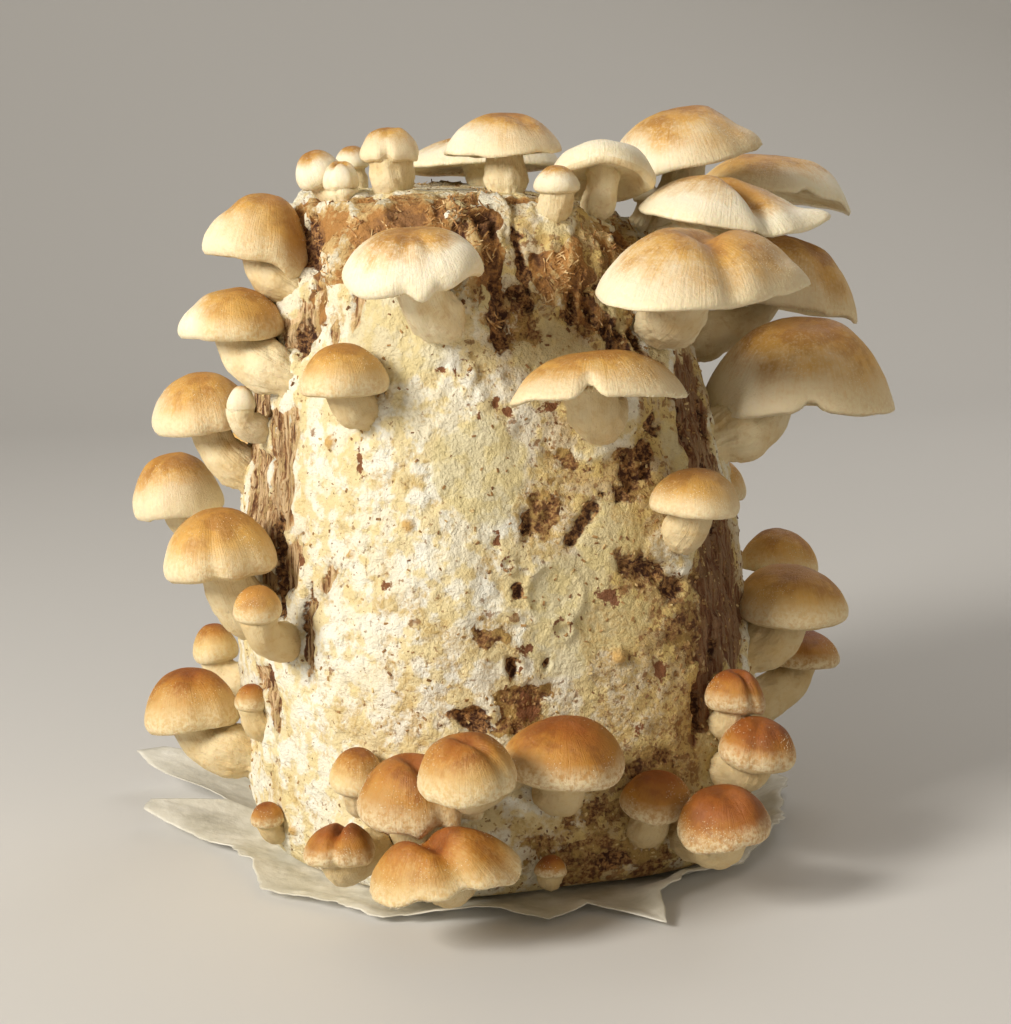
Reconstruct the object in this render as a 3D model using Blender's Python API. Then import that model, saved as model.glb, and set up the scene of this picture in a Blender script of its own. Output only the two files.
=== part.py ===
"""A shiitake log: a block of sawdust bound by white mycelium, standing on the torn foot of its
grow bag, with mushrooms on its sides and top. Metres, +Z up, origin on the underside of the film."""

import math

import bmesh
import bpy
from mathutils import Vector
from mathutils.bvhtree import BVHTree

MM = 0.001
GAP = 0.0003  # clearance between touching pieces

# The log. Radius and height up the outline, from the edge of the foot to the top, in mm.
LOG_OUTLINE = (
    (40, 1), (66, 1.4), (72.5, 7), (74.5, 21), (74.5, 46), (73.5, 71), (70.5, 100), (67, 123),
    (63.3, 144), (60.3, 158), (57.5, 168), (55, 177), (50.5, 184), (43, 187.4), (26, 188.3),
)
LOG_HEIGHT = 188.5 * MM
LOG_SIDES = 40
LOG_LEAN = -6 * MM  # the top stands this far to the left of the foot
TOP_FALL = 2.9  # how fast the top drops to the right of its ridge, per metre squared
RIDGE_X = -18 * MM
# Where the bag's folds left the log fuller or flatter: bearing in degrees, spread, share of radius.
SWELLS = (
    (-17, 17, 0.055), (49, 17, 0.045), (16, 15, -0.035), (-115, 25, 0.03), (150, 20, 0.04),
    (-165, 18, -0.03),
)
# Single lumps and hollows on the side: bearing, height, spread in degrees, spread in mm, size in mm.
LUMPS = (
    (-52, 168, 10, 13, -3.5), (-37, 172, 9, 10, 2.0), (3, 172, 7, 12, 2.2), (15, 170, 7, 14, -2.2),
    (28, 168, 9, 9, 2.0), (45, 128, 9, 16, -2.0), (58, 100, 9, 26, -1.8), (-70, 115, 10, 24, -1.8),
    (118, 150, 12, 16, 2.4), (176, 150, 13, 18, -2.4), (-120, 70, 14, 20, 2.2), (155, 60, 13, 18, -2.0),
)

# The film. Its outer edge: bearing in degrees, distance from the axis and height in mm.
FILM_EDGE = (
    (-176, 84, 6), (-165, 90, 3), (-154, 83, 8), (-143, 92, 5), (-132, 84, 9), (-121, 90, 6),
    (-115, 121, 13), (-111, 126, 14), (-108, 118, 12), (-103, 96, 7), (-98, 86, 5), (-94, 107, 8),
    (-90, 108, 8), (-85, 99, 5), (-79, 90, 3), (-70, 83, 3), (-58, 83, 4), (-47, 90, 2), (-40, 88, 2), (-31, 87, 2), (-21, 91, 2),
    (-11, 86, 3), (-1, 84, 3), (7, 90, 2), (15, 81, 3), (20, 90, 2), (24, 102, 1), (29, 84, 3),
    (38, 80, 5), (52, 83, 4), (66, 81, 7), (80, 84, 5), (93, 82, 8), (105, 92, 4), (115, 84, 8),
    (128, 90, 3), (142, 88, 7), (154, 96, 3), (165, 86, 6), (175, 91, 3),
)
FILM_THICKNESS = 0.6 * MM
# The film under the log: distance from the axis and height in mm. It follows the log's own swells.
FILM_FLOOR = ((44, 0), (69, 0), (75.5, 2.2))

# Outlines of the caps, from beside the tip to the edge and in to the stem: share of the radius,
# share of the height. The last point is where the stem leaves the gills.
CAP_FORMS = {
    "button": ((0.42, 0.93), (0.78, 0.69), (1.0, 0.27), (0.88, -0.02), (0.4, 0.06)),
    "domed": ((0.36, 0.94), (0.68, 0.76), (0.93, 0.41), (1.0, 0.12), (0.9, -0.03), (0.34, 0.12)),
    "open": ((0.3, 0.94), (0.6, 0.74), (0.86, 0.37), (1.0, 0.0), (0.94, -0.06), (0.28, 0.2)),
}
CAP_LOBES = {"button": 0.03, "domed": 0.035, "open": 0.04}  # how far the edge runs in and out
CAP_WAVE = {"button": 0.03, "domed": 0.04, "open": 0.05}  # how far the edge runs up and down
STEM_STATIONS = (0.0, 0.45, 1.0)
STEM_SHIFT = {"button": 0.0, "domed": 0.1, "open": 0.3}  # share of the depth, towards the log
STEM_SWELL = 1.15  # the foot's width over the neck's
STEM_ROOT = 4 * MM  # how far a stem runs into the log before it is trimmed to it

# Mushrooms on the sides. Bearings are in degrees, 0 at the front and 90 at the right, and lengths
# in mm. name, form, cap width, cap height, width over depth, cap's bearing, distance from the axis,
# height of its edge, lean outwards, foot's bearing, foot's height, stem width.
SIDE_MUSHROOMS = (
    ("mushroom_shelf_top_back", "open", 48, 13, 1.0, 118, 97.5, 182, 10, 108, 164, 12),
    ("mushroom_shelf_top", "open", 46.5, 11.5, 0.96, 65, 70.5, 179.3, 6, 64, 166, 13),
    ("mushroom_shelf_front", "open", 60, 16.5, 1.25, 38.5, 86.5, 163, 6, 51, 150, 15),
    ("mushroom_shelf_back", "open", 43, 20.5, 1.0, 108, 91.5, 150.5, 14, 104, 138, 12),
    ("mushroom_shelf_low", "open", 49, 25, 0.88, 88, 88, 124.5, 3, 78, 114, 16),
    ("mushroom_front_draped", "domed", 36, 14, 1.1, -14, 77.5, 167.8, 12, -10, 153, 12),
    ("mushroom_front_left", "domed", 23, 12.5, 1.0, -30, 77, 139, 2, -28, 130, 10),
    ("mushroom_front_broad", "open", 46, 12.5, 1.2, 18.5, 84, 137.5, -7, 27, 128, 13),
    ("mushroom_front_right", "domed", 24, 11, 1.0, 40, 82, 104.5, 3, 42, 94, 10),
    ("mushroom_left_1", "domed", 27, 19, 1.0, -71, 68, 170.3, -12, -63, 162, 10),
    ("mushroom_left_2", "domed", 28.5, 13.3, 1.0, -68.5, 76, 150.4, 1, -57.5, 138, 12.5),
    ("mushroom_left_3", "domed", 29, 16, 1.0, -87, 83.5, 122, 5, -84, 106, 11),
    ("mushroom_left_pin", "button", 8, 7, 1.0, -66, 76.5, 130, -6, -68, 122, 7),
    ("mushroom_left_4", "domed", 27, 18, 1.0, -96, 95, 95, 6, -95, 86, 10),
    ("mushroom_left_5", "domed", 31, 17, 1.0, -58.5, 88.5, 88.5, 6, -63, 70, 14),
    ("mushroom_left_6", "button", 13, 9, 1.0, -45, 90, 78.5, 6, -50, 66, 9),
    ("mushroom_left_7", "button", 14, 11, 1.0, -103, 89, 47.5, 6, -101, 38, 9),
    ("mushroom_left_8", "domed", 28, 17, 1.0, -84, 91, 36, 4, -80, 24, 14),
    ("mushroom_left_9", "button", 9.5, 7, 1.0, -64.5, 78, 46, 0, -64, 36, 7),
    ("mushroom_left_foot", "button", 9.5, 6, 1.0, -57.5, 78.5, 15, 6, -61, 9, 6),
    ("mushroom_low_1", "button", 14.5, 11, 1.0, -27, 84, 34.5, 4, -28, 26, 8),
    ("mushroom_low_2", "domed", 30, 16, 1.15, -14.5, 92, 31.8, 6, -17.5, 20, 11),
    ("mushroom_low_3", "domed", 25, 15, 1.0, -4.5, 110, 45, 8, 2, 36, 9),
    ("mushroom_low_4", "button", 18.5, 8.5, 1.0, -25.5, 98, 20.5, 6, -26, 14, 10),
    ("mushroom_low_5", "open", 40, 12, 1.6, -8.5, 107.6, 20.8, 16, -9.5, 11, 12.5),
    ("mushroom_low_6", "domed", 31, 13.5, 1.0, 10, 92, 43, 7, 11, 29, 12),
    ("mushroom_low_7", "domed", 19, 11, 1.0, 29.5, 82.5, 25, 3, 30, 14, 9),
    ("mushroom_low_8", "domed", 24.5, 12.5, 1.0, 34.5, 101.5, 22.5, 6, 42, 11, 12),
    ("mushroom_low_bud", "button", 8.5, 5, 1.0, 9, 77, 10, 4, 9, 7, 6),
    ("mushroom_right_1", "button", 16, 10.5, 1.0, 48, 85, 49, 4, 52, 40, 8),
    ("mushroom_right_2", "button", 21, 12, 1.0, 46.5, 93.5, 36, 8, 52, 27, 10),
    ("mushroom_right_3", "domed", 24, 13, 1.0, 107, 89, 69, 8, 102, 56, 10),
    ("mushroom_right_4", "domed", 33, 15, 1.0, 80.5, 84.5, 64, 6, 76, 52, 14),
    ("mushroom_right_5", "domed", 26, 10, 1.0, 108, 97, 39.5, 6, 100, 26, 12),
    ("mushroom_back_1", "open", 44, 15, 1.15, 140, 86, 150, 8, 139, 138, 13),
    ("mushroom_back_2", "open", 38, 15, 1.1, 164, 86, 112, 8, 163, 99, 13),
    ("mushroom_back_3", "domed", 30, 14, 1.0, -172, 75, 158, 8, -171, 146, 11),
    ("mushroom_back_4", "domed", 27, 15, 1.0, -138, 80, 142, 6, -137, 129, 11),
    ("mushroom_back_5", "domed", 24, 13, 1.0, -122, 86, 104, 6, -121, 92, 10),
    ("mushroom_back_6", "domed", 32, 17, 1.0, -152, 91, 76, 8, -151, 63, 13),
    ("mushroom_back_7", "button", 20, 12, 1.0, 172, 85, 50, 4, 171, 41, 9),
    ("mushroom_back_8", "domed", 27, 14, 1.0, 134, 92, 86, 8, 133, 74, 11),
    ("mushroom_back_9", "domed", 28, 15, 1.0, 136, 95, 30, 8, 137, 18, 12),
    ("mushroom_back_10", "domed", 26, 14, 1.1, -165, 94, 22, 8, -166, 12, 11),
    ("mushroom_back_11", "button", 18, 12, 1.0, -134, 91, 34, 6, -134, 24, 9),
    ("mushroom_back_12", "domed", 23, 11, 1.0, -145, 71, 167, 6, -146, 154, 10),
)
# Mushrooms on the top, in the same order, but the foot's height is its distance from the axis.
TOP_MUSHROOMS = (
    ("mushroom_top_1", "button", 13, 9, 1.0, -66.5, 50, 191.5, 22, -60, 44, 7),
    ("mushroom_top_pin", "button", 10, 7.5, 1.0, -54, 49, 190, 4, -54, 46, 8),
    ("mushroom_top_2", "button", 10, 6.5, 1.0, -98, 39, 194.5, 4, -97, 37, 6),
    ("mushroom_top_3", "button", 16, 9, 1.0, -41, 40, 197, 2, -41, 38, 11),
    ("mushroom_top_wide", "open", 48, 11, 1.2, -178, 31, 193, 7, 178, 27, 12),
    ("mushroom_top_4", "open", 32, 11.5, 1.0, 12, 23, 198, 0, 12, 25, 10),
    ("mushroom_top_curled", "open", 28, 8, 1.0, 43, 45.5, 191, -34, 44, 42, 10),
    ("mushroom_top_small", "button", 12, 7, 1.0, 22, 49, 188, 4, 22, 45.5, 8),
    ("mushroom_top_5", "open", 44, 16, 1.0, 90, 56, 194, 9, 90, 45, 12),
    ("mushroom_top_bud", "button", 7.5, 5.5, 1.0, 76, 45.5, 183.5, 4, 76, 42, 5),
)

# Caps that lean another way than outwards: the bearing they lean towards.
LEAN_TOWARDS = {
    "mushroom_top_curled": -5,
    "mushroom_low_5": -55,
    "mushroom_low_8": -28,
    "mushroom_top_5": -80,
    "mushroom_shelf_front": 10,
}
# Broad folds in a cap: the bearing the fold runs to, where it starts, from -1 at the far edge to 1,
# its width in shares of the radius, and how far it lifts the middle and the edge in mm.
CAP_FOLDS = {
    "mushroom_shelf_top": ((28, -0.3, 0.3, -4.0, -1.0), (75, 0.0, 0.6, -2.0, 1.0)),
    "mushroom_shelf_front": ((21, -0.2, 0.28, -2.4, -0.5), (150, -0.3, 0.3, -2.4, 0.0)),
    "mushroom_shelf_low": ((0, 0.3, 0.3, -0.8, 2.0),),
    "mushroom_front_draped": ((8, 0.2, 0.25, 0.5, -1.5), (60, 0.2, 0.4, 0.0, 2.0)),
    "mushroom_front_broad": ((-3, 0.45, 0.25, 0.2, 2.4),),
    "mushroom_low_2": ((30, -0.2, 0.3, -2.0, 1.0), (75, 0.2, 0.4, -0.5, -1.5)),
    "mushroom_low_4": ((-12, -1.0, 0.3, -2.0, 0.6),),
    "mushroom_low_5": ((15, -0.9, 0.3, -4.5, 0.8),),
    "mushroom_right_1": ((30, -0.4, 0.3, -1.4, 0.3),),
    "mushroom_back_1": ((125, -0.5, 0.3, -3.0, 0.0),),
    "mushroom_back_10": ((-150, -0.6, 0.3, -2.5, 0.0),),
}

# Surface finishes: colour, roughness.
FINISHES = {
    "log": ((0.80, 0.70, 0.48), 0.9),
    "film_base": ((0.72, 0.70, 0.62), 0.35),
    "pale_cap": ((0.82, 0.62, 0.36), 0.6),
    "brown_cap": ((0.62, 0.33, 0.12), 0.6),
}
BROWN_BELOW = 60 * MM  # caps below this height are browner


def clear_scene():
    for obj in list(bpy.data.objects):
        bpy.data.objects.remove(obj)


def finish(name):
    """The material of this finish, made once."""
    material = bpy.data.materials.get(name)
    if material is None:
        colour, roughness = FINISHES[name]
        material = bpy.data.materials.new(name)
        material.use_nodes = True
        shader = material.node_tree.nodes["Principled BSDF"]
        shader.inputs["Base Color"].default_value = (*colour, 1.0)
        shader.inputs["Roughness"].default_value = roughness
    return material


def outwards(bearing):
    """The level direction away from the axis at this bearing in degrees."""
    turn = math.radians(bearing)
    return Vector((math.sin(turn), -math.cos(turn), 0.0))


def swell(bearing):
    """How full the log is at this bearing, 1 on average."""
    full = 1.0
    for middle, spread, share in SWELLS:
        away = (bearing - middle + 180) % 360 - 180
        full += share * math.exp(-((away / spread) ** 2))
    return full


def smooth_step(share):
    share = min(max(share, 0.0), 1.0)
    return share * share * (3 - 2 * share)


def log_point(bearing, radius, height):
    """A point of the outline, turned to this bearing, leaning, and lowered where the top falls away."""
    radius *= swell(bearing)
    for middle, middle_height, spread, spread_height, size in LUMPS:
        away = ((bearing - middle + 180) % 360 - 180) / spread
        above = (height / MM - middle_height) / spread_height
        radius += size * MM * math.exp(-(away**2) - above**2)
    point = outwards(bearing) * radius
    point.x += LOG_LEAN * (height / LOG_HEIGHT) ** 1.3
    fall = TOP_FALL * max(0.0, point.x - RIDGE_X) ** 2
    point.z = height - fall * smooth_step(height / LOG_HEIGHT * 2 - 1)
    return point


def skin(name, rings, first, last):
    """One closed mesh object: a fan to the first point, bands between the rings, a fan to the last."""
    mesh_builder = bmesh.new()
    rows = [[mesh_builder.verts.new(point) for point in ring] for ring in rings]
    count = len(rows[0])
    for lower, upper in zip(rows, rows[1:]):
        for i in range(count):
            j = (i + 1) % count
            mesh_builder.faces.new((lower[i], lower[j], upper[j], upper[i]))
    for row, pole in ((rows[0], first), (rows[-1], last)):
        tip = mesh_builder.verts.new(pole)
        for i in range(count):
            mesh_builder.faces.new((row[i], row[(i + 1) % count], tip))
    bmesh.ops.recalc_face_normals(mesh_builder, faces=mesh_builder.faces)
    mesh = bpy.data.meshes.new(name)
    mesh_builder.to_mesh(mesh)
    mesh_builder.free()
    mesh.shade_smooth()
    mesh.set_sharp_from_angle(angle=math.radians(50))
    obj = bpy.data.objects.new(name, mesh)
    bpy.context.scene.collection.objects.link(obj)
    return obj


def make_log(name, grow=0.0):
    """The log, or a copy of it that stands out by grow all round."""
    bearings = [360 * i / LOG_SIDES for i in range(LOG_SIDES)]
    rings = []
    for radius, height in LOG_OUTLINE:
        lift = grow if height > 100 else -grow if height < 2 else 0.0
        rings.append([log_point(b, radius * MM + grow, height * MM + lift) for b in bearings])
    foot = Vector((0.0, 0.0, LOG_OUTLINE[0][1] * MM - grow))
    top = log_point(0, 0, LOG_HEIGHT + grow)
    return skin(name, rings, foot, top)


def make_film():
    """The torn foot of the grow bag: flat under the log, then out past it to a ragged edge."""
    mesh_builder = bmesh.new()
    rows = []
    for radius, height in FILM_FLOOR:
        row = [outwards(b) * radius * MM * swell(b) + Vector((0, 0, height * MM)) for b, *_ in FILM_EDGE]
        rows.append([mesh_builder.verts.new(point) for point in row])
    edge = [outwards(b) * reach * MM + Vector((0, 0, height * MM)) for b, reach, height in FILM_EDGE]
    rows.append([mesh_builder.verts.new(point) for point in edge])
    count = len(FILM_EDGE)
    for inner, outer in zip(rows, rows[1:]):
        for i in range(count):
            j = (i + 1) % count
            mesh_builder.faces.new((inner[i], outer[i], outer[j], inner[j]))
    mesh_builder.faces.new(rows[0])
    bmesh.ops.recalc_face_normals(mesh_builder, faces=mesh_builder.faces)
    if sum(face.normal.z for face in mesh_builder.faces) > 0:
        bmesh.ops.reverse_faces(mesh_builder, faces=mesh_builder.faces)
    mesh = bpy.data.meshes.new("film_base")
    mesh_builder.to_mesh(mesh)
    mesh_builder.free()
    film = bpy.data.objects.new("film_base", mesh)
    bpy.context.scene.collection.objects.link(film)
    wall = film.modifiers.new("wall", "SOLIDIFY")
    wall.thickness = FILM_THICKNESS
    wall.offset = -1.0
    return film


def fold_lift(folds, bearing, x, y):
    """How far a cap's folds lift the point at these shares of its width and depth."""
    lift = 0.0
    for towards, start, spread, middle, edge in folds:
        turn = math.radians(90 + bearing - towards)
        along = x * math.cos(turn) + y * math.sin(turn)
        beside = y * math.cos(turn) - x * math.sin(turn)
        place = min(max((along - start) / (1 - start), 0.0), 1.0)
        rise = 4 * middle * place * (1 - place) + edge * smooth_step(place * 2 - 1)
        lift += MM * rise * math.exp(-((beside / spread) ** 2))
    return lift


def cap_rings(form, sides, width, height, oval, bearing, folds, phase):
    """The cap's outline turned round its axis, as rings of (across, out, up): lobed, wavy and
    folded. Across is its width and out its depth."""
    rings = []
    half_width, half_depth = width / 2, width / 2 / oval
    for share, rise in CAP_FORMS[form]:
        ring = []
        for i in range(sides):
            turn = 2 * math.pi * i / sides
            x, y = share * math.cos(turn), share * math.sin(turn)
            lobe = 1 + CAP_LOBES[form] * share * math.cos(3 * turn + phase)
            wave = CAP_WAVE[form] * share**3 * math.cos(2 * turn + 2 * phase)
            up = height * (rise + wave) + fold_lift(folds, bearing, x, y)
            ring.append((half_width * lobe * x, half_depth * lobe * y, up))
        rings.append(ring)
    return rings


def bezier(a, b, c, d, t):
    """The point and the direction at t on the curve through these four handles."""
    s = 1 - t
    point = a * s**3 + b * 3 * s * s * t + c * 3 * s * t * t + d * t**3
    along = (b - a) * s * s + (c - b) * 2 * s * t + (d - c) * t * t
    return point, along.normalized()


def make_mushroom(row, index, foot, foot_out, shift):
    """One cap with its stem, grown as one piece from foot, where the log faces foot_out."""
    name, form, width, height, oval, bearing, reach, level, tip, _, _, stem_width = row
    width, height, stem = width * MM, height * MM, stem_width * MM / 2
    folds = CAP_FOLDS.get(name, ())
    out = outwards(bearing)
    middle = out * reach * MM + Vector((0, 0, level * MM))
    lean = math.radians(tip)
    up = Vector((0, 0, math.cos(lean))) + outwards(LEAN_TOWARDS.get(name, bearing)) * math.sin(lean)
    across = up.cross(out).normalized()
    outer = across.cross(up)
    sides = round(4.3 + width / (7.6 * MM))

    rings = []
    outline = cap_rings(form, sides, width, height, oval, bearing, folds, phase=2.4 * index)
    for ring in outline[:-1]:
        rings.append([middle + across * a + outer * o + up * u for a, o, u in ring])
    neck_rise = CAP_FORMS[form][-1][1]
    neck = middle + up * height * neck_rise - outer * shift * width / oval / 2
    end = foot - foot_out * STEM_ROOT
    length = (end - neck).length
    # the stem hangs below the cap, but no lower than its foot, and then turns into the log
    handle_up = neck - up * min(length * 0.45, max(neck.z - end.z, 0.0) * 0.75 + 1.5 * MM)
    handle_out = end + (foot_out * 0.62 + Vector((0, 0, 0.5))) * length * 0.4
    for station in STEM_STATIONS:
        point, along = bezier(neck, handle_up, handle_out, end, station)
        side = (across - along * across.dot(along)).normalized()
        other = along.cross(side)
        thick = stem * (1 + (STEM_SWELL - 1) * station)
        ring = []
        for i in range(sides):
            turn = 2 * math.pi * i / sides
            ring.append(point + side * thick * math.cos(turn) + other * thick * math.sin(turn))
        rings.append(ring)
    crown = height + fold_lift(folds, bearing, 0.0, 0.0)
    return skin(name, rings, middle + up * crown, end)


def trim(obj, cutter):
    """Cuts the log's own shape, with its gap, out of a mushroom."""
    cut = obj.modifiers.new("trim", "BOOLEAN")
    cut.operation = "DIFFERENCE"
    cut.object = cutter


def main():
    clear_scene()
    log = make_log("log")
    log.data.materials.append(finish("log"))
    film = make_film()
    film.data.materials.append(finish("film_base"))
    log_room = make_log("log_room", grow=GAP)
    log_room.hide_render = True
    log_room.display_type = "WIRE"

    surface = BVHTree.FromObject(log, bpy.context.evaluated_depsgraph_get())
    for index, row in enumerate(SIDE_MUSHROOMS + TOP_MUSHROOMS):
        foot_bearing, foot_place = row[9], row[10] * MM
        if row in TOP_MUSHROOMS:
            start = outwards(foot_bearing) * foot_place + Vector((0, 0, 2 * LOG_HEIGHT))
            towards = Vector((0, 0, -1))
            shift = 0.0
        else:
            start = outwards(foot_bearing) * LOG_HEIGHT + Vector((0, 0, foot_place))
            towards = -outwards(foot_bearing)
            shift = STEM_SHIFT[row[1]]
        foot, foot_out, *_ = surface.ray_cast(start, towards)
        mushroom = make_mushroom(row, index, foot, foot_out, shift)
        low = row[7] * MM < BROWN_BELOW
        mushroom.data.materials.append(finish("brown_cap" if low else "pale_cap"))
        trim(mushroom, log_room)


main()
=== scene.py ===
import math
from collections import namedtuple

import bpy
import numpy as np
from mathutils import Euler, Matrix, Vector
from mathutils.bvhtree import BVHTree


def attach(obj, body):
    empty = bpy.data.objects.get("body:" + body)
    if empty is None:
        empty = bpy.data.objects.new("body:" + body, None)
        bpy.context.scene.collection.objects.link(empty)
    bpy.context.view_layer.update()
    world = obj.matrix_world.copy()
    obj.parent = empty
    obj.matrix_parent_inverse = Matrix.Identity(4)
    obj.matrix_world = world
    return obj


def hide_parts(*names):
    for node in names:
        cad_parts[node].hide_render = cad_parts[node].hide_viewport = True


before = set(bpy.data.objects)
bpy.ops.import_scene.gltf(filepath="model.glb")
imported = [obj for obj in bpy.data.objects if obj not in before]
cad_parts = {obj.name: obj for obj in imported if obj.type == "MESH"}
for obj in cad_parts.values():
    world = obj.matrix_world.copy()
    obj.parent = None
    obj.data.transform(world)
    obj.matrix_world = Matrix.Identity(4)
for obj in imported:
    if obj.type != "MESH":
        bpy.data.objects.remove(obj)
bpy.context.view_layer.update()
mm = 0.001

noiseAxes = np.array(Euler((0.5, 0.35, 0.6)).to_matrix())  # turned, so that no noise lines up with the log
noiseMix = (73856093, 19349663, 83492791, 2654435, 1274126177)  # large numbers that scramble a cell's place
noiseTop = 0xFFFFF


def bumps(points, size, seed):
    # smooth random bumps from -1 to 1, about size across
    place = points @ noiseAxes / size
    cell = np.floor(place).astype(np.int64)
    part = place - cell
    part = part * part * part * (part * (part * 6 - 15) + 10)
    total = np.zeros(len(place))
    for corner in np.ndindex(2, 2, 2):
        x, y, z = (cell + np.array(corner)).T
        mixed = (x * noiseMix[0]) ^ (y * noiseMix[1]) ^ (z * noiseMix[2]) ^ (seed * noiseMix[3])
        mixed = (mixed ^ (mixed >> 13)) * noiseMix[4]
        mixed = (mixed ^ (mixed >> 15)) & noiseTop
        weight = np.prod(np.where(np.array(corner) == 1, part, 1 - part), axis=1)
        total += weight * (mixed / noiseTop * 2 - 1)
    return total


def layeredBumps(points, size, seed):
    # bumps with two more layers on them, each half as large and half as high
    return sum(0.5**k * bumps(points, size * 0.5**k, seed + 17 * k) for k in range(3))


def smoothStep(share):
    share = np.clip(share, 0.0, 1.0)
    return share * share * (3 - 2 * share)


def ramp(values, start, width):
    # a smooth rise from 0 at start to 1 at start + width
    return smoothStep((values - start) / width)


def bell(*distances):
    # 1 in the middle, falling off smoothly
    return np.exp(-sum(distance**2 for distance in distances))


def runAlong(points, density=1.0):
    # how far along a line each of its points is
    return np.concatenate([[0], np.cumsum(np.hypot(*np.diff(points, axis=0).T) * density)])


def pointsAt(stops, run, points):
    return np.stack([np.interp(stops, run, column) for column in points.T], axis=1)


def smoothPath(points, count):
    # count points at even spacing along a smooth curve through these points
    points = np.array(points, float)
    ends = np.vstack([2 * points[0] - points[1], points, 2 * points[-1] - points[-2]])
    fine = []
    for a, b, c, d in zip(ends, ends[1:], ends[2:], ends[3:]):
        for t in np.linspace(0, 1, 12, endpoint=False):
            fine.append(0.5 * (2 * b + (c - a) * t + (2 * a - 5 * b + 4 * c - d) * t**2
                               + (3 * b - a - 3 * c + d) * t**3))
    fine = np.array(fine + [points[-1]])
    run = runAlong(fine)
    return pointsAt(np.linspace(0, run[-1], count), run, fine)


def roundPoints(turn, radius, level):
    return np.stack([np.cos(turn) * radius, np.sin(turn) * radius, turn * 0 + level], axis=-1)


def ringFaces(rows, around, first=0):
    # quads between closed rings of points, each ring around points long
    lower = np.arange(rows - 1)[:, None] * around + np.arange(around)[None, :]
    ahead = np.arange(rows - 1)[:, None] * around + (np.arange(around)[None, :] + 1) % around
    return first + np.stack([lower, ahead, ahead + around, lower + around], axis=-1).reshape(-1, 4)


def fanFaces(around, first, centre, flip=False):
    # triangles from a ring, whose points begin at first, to one point
    near, ahead = first + np.arange(around), first + (np.arange(around) + 1) % around
    side = [ahead, near] if flip else [near, ahead]
    return np.stack([*side, np.full(around, centre)], axis=1)


def intoScene(name, data):
    obj = bpy.data.objects.new(name, data)
    bpy.context.scene.collection.objects.link(obj)
    return obj


def makeObject(name, points, faces, materials, faceMaterial=None, attributes=None):
    # one mesh object; faces is a list of arrays of quads or triangles
    mesh = bpy.data.meshes.new(name)
    mesh.from_pydata(np.asarray(points).tolist(), [], [f for block in faces for f in block.tolist()])
    for material in materials:
        mesh.materials.append(material)
    if faceMaterial is not None:
        mesh.polygons.foreach_set("material_index", np.asarray(faceMaterial, np.int32))
    for key, values in (attributes or {}).items():
        values = np.asarray(values, np.float32)
        kind, field = ("FLOAT_VECTOR", "vector") if values.ndim == 2 else ("FLOAT", "value")
        mesh.attributes.new(key, kind, "POINT").data.foreach_set(field, values.ravel())
    mesh.shade_smooth()
    mesh.update()
    return intoScene(name, mesh)


def addNode(tree, kind, inputs=None, **settings):
    node = tree.nodes.new(kind)
    for key, value in settings.items():
        setattr(node, key, value)
    for key, value in (inputs or {}).items():
        if isinstance(value, bpy.types.NodeSocket):
            tree.links.new(value, node.inputs[key])
        else:
            node.inputs[key].default_value = value
    return node


def liveOutput(node, name):
    return next(socket for socket in node.outputs if socket.name == name and socket.enabled)


def newGroup(name, kind, inputs, output, outputKind):
    # a node group; each input is its name, its kind and its value
    tree = bpy.data.node_groups.new(name, kind)
    for key, socketKind, value in inputs:
        socket = tree.interface.new_socket(key, in_out="INPUT", socket_type="NodeSocket" + socketKind)
        if value is not None:
            socket.default_value = value
    tree.interface.new_socket(output, in_out="OUTPUT", socket_type="NodeSocket" + outputKind)
    return tree, tree.nodes.new("NodeGroupInput"), tree.nodes.new("NodeGroupOutput")


def endTree(tree, out, instances, material):
    # make the instances real and paint them
    real = addNode(tree, "GeometryNodeRealizeInstances", {"Geometry": instances})
    painted = addNode(tree, "GeometryNodeSetMaterial", {"Geometry": real.outputs[0], "Material": material})
    tree.links.new(painted.outputs[0], out.inputs["Geometry"])
    return tree


def runNodes(name, mesh, tree, settings):
    # the mesh that a node tree makes out of this one
    holder = intoScene("holder", mesh)
    modifier = holder.modifiers.new("nodes", "NODES")
    modifier.node_group = tree
    for socket in tree.interface.items_tree:
        if socket.in_out == "INPUT" and socket.name in settings:
            modifier[socket.identifier] = settings[socket.name]
    bpy.context.view_layer.update()
    result = bpy.data.meshes.new_from_object(holder.evaluated_get(bpy.context.evaluated_depsgraph_get()))
    result.name = name
    bpy.data.objects.remove(holder)
    return result


def speckGroup():
    # scattered small spots: 1 inside a spot, 0 outside
    tree, given, out = newGroup("specks", "ShaderNodeTree", [
        ("Vector", "Vector", None), ("Scale", "Float", 500.0), ("Amount", "Float", 0.3),
        ("Softness", "Float", 0.08)], "Mask", "Float")
    noise = addNode(tree, "ShaderNodeTexNoise", {
        "Vector": given.outputs["Vector"], "Scale": given.outputs["Scale"], "Detail": 3.0, "Roughness": 0.6})
    edge = addNode(tree, "ShaderNodeMath", {0: 0.72, 1: given.outputs["Amount"]}, operation="SUBTRACT")
    low, high = [addNode(tree, "ShaderNodeMath", {0: edge.outputs[0], 1: given.outputs["Softness"]},
                         operation=operation) for operation in ("SUBTRACT", "ADD")]
    share = addNode(tree, "ShaderNodeMapRange", {
        "Value": noise.outputs[0], "From Min": low.outputs[0], "From Max": high.outputs[0]},
        interpolation_type="SMOOTHSTEP")
    tree.links.new(share.outputs[0], out.inputs["Mask"])
    return tree


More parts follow.
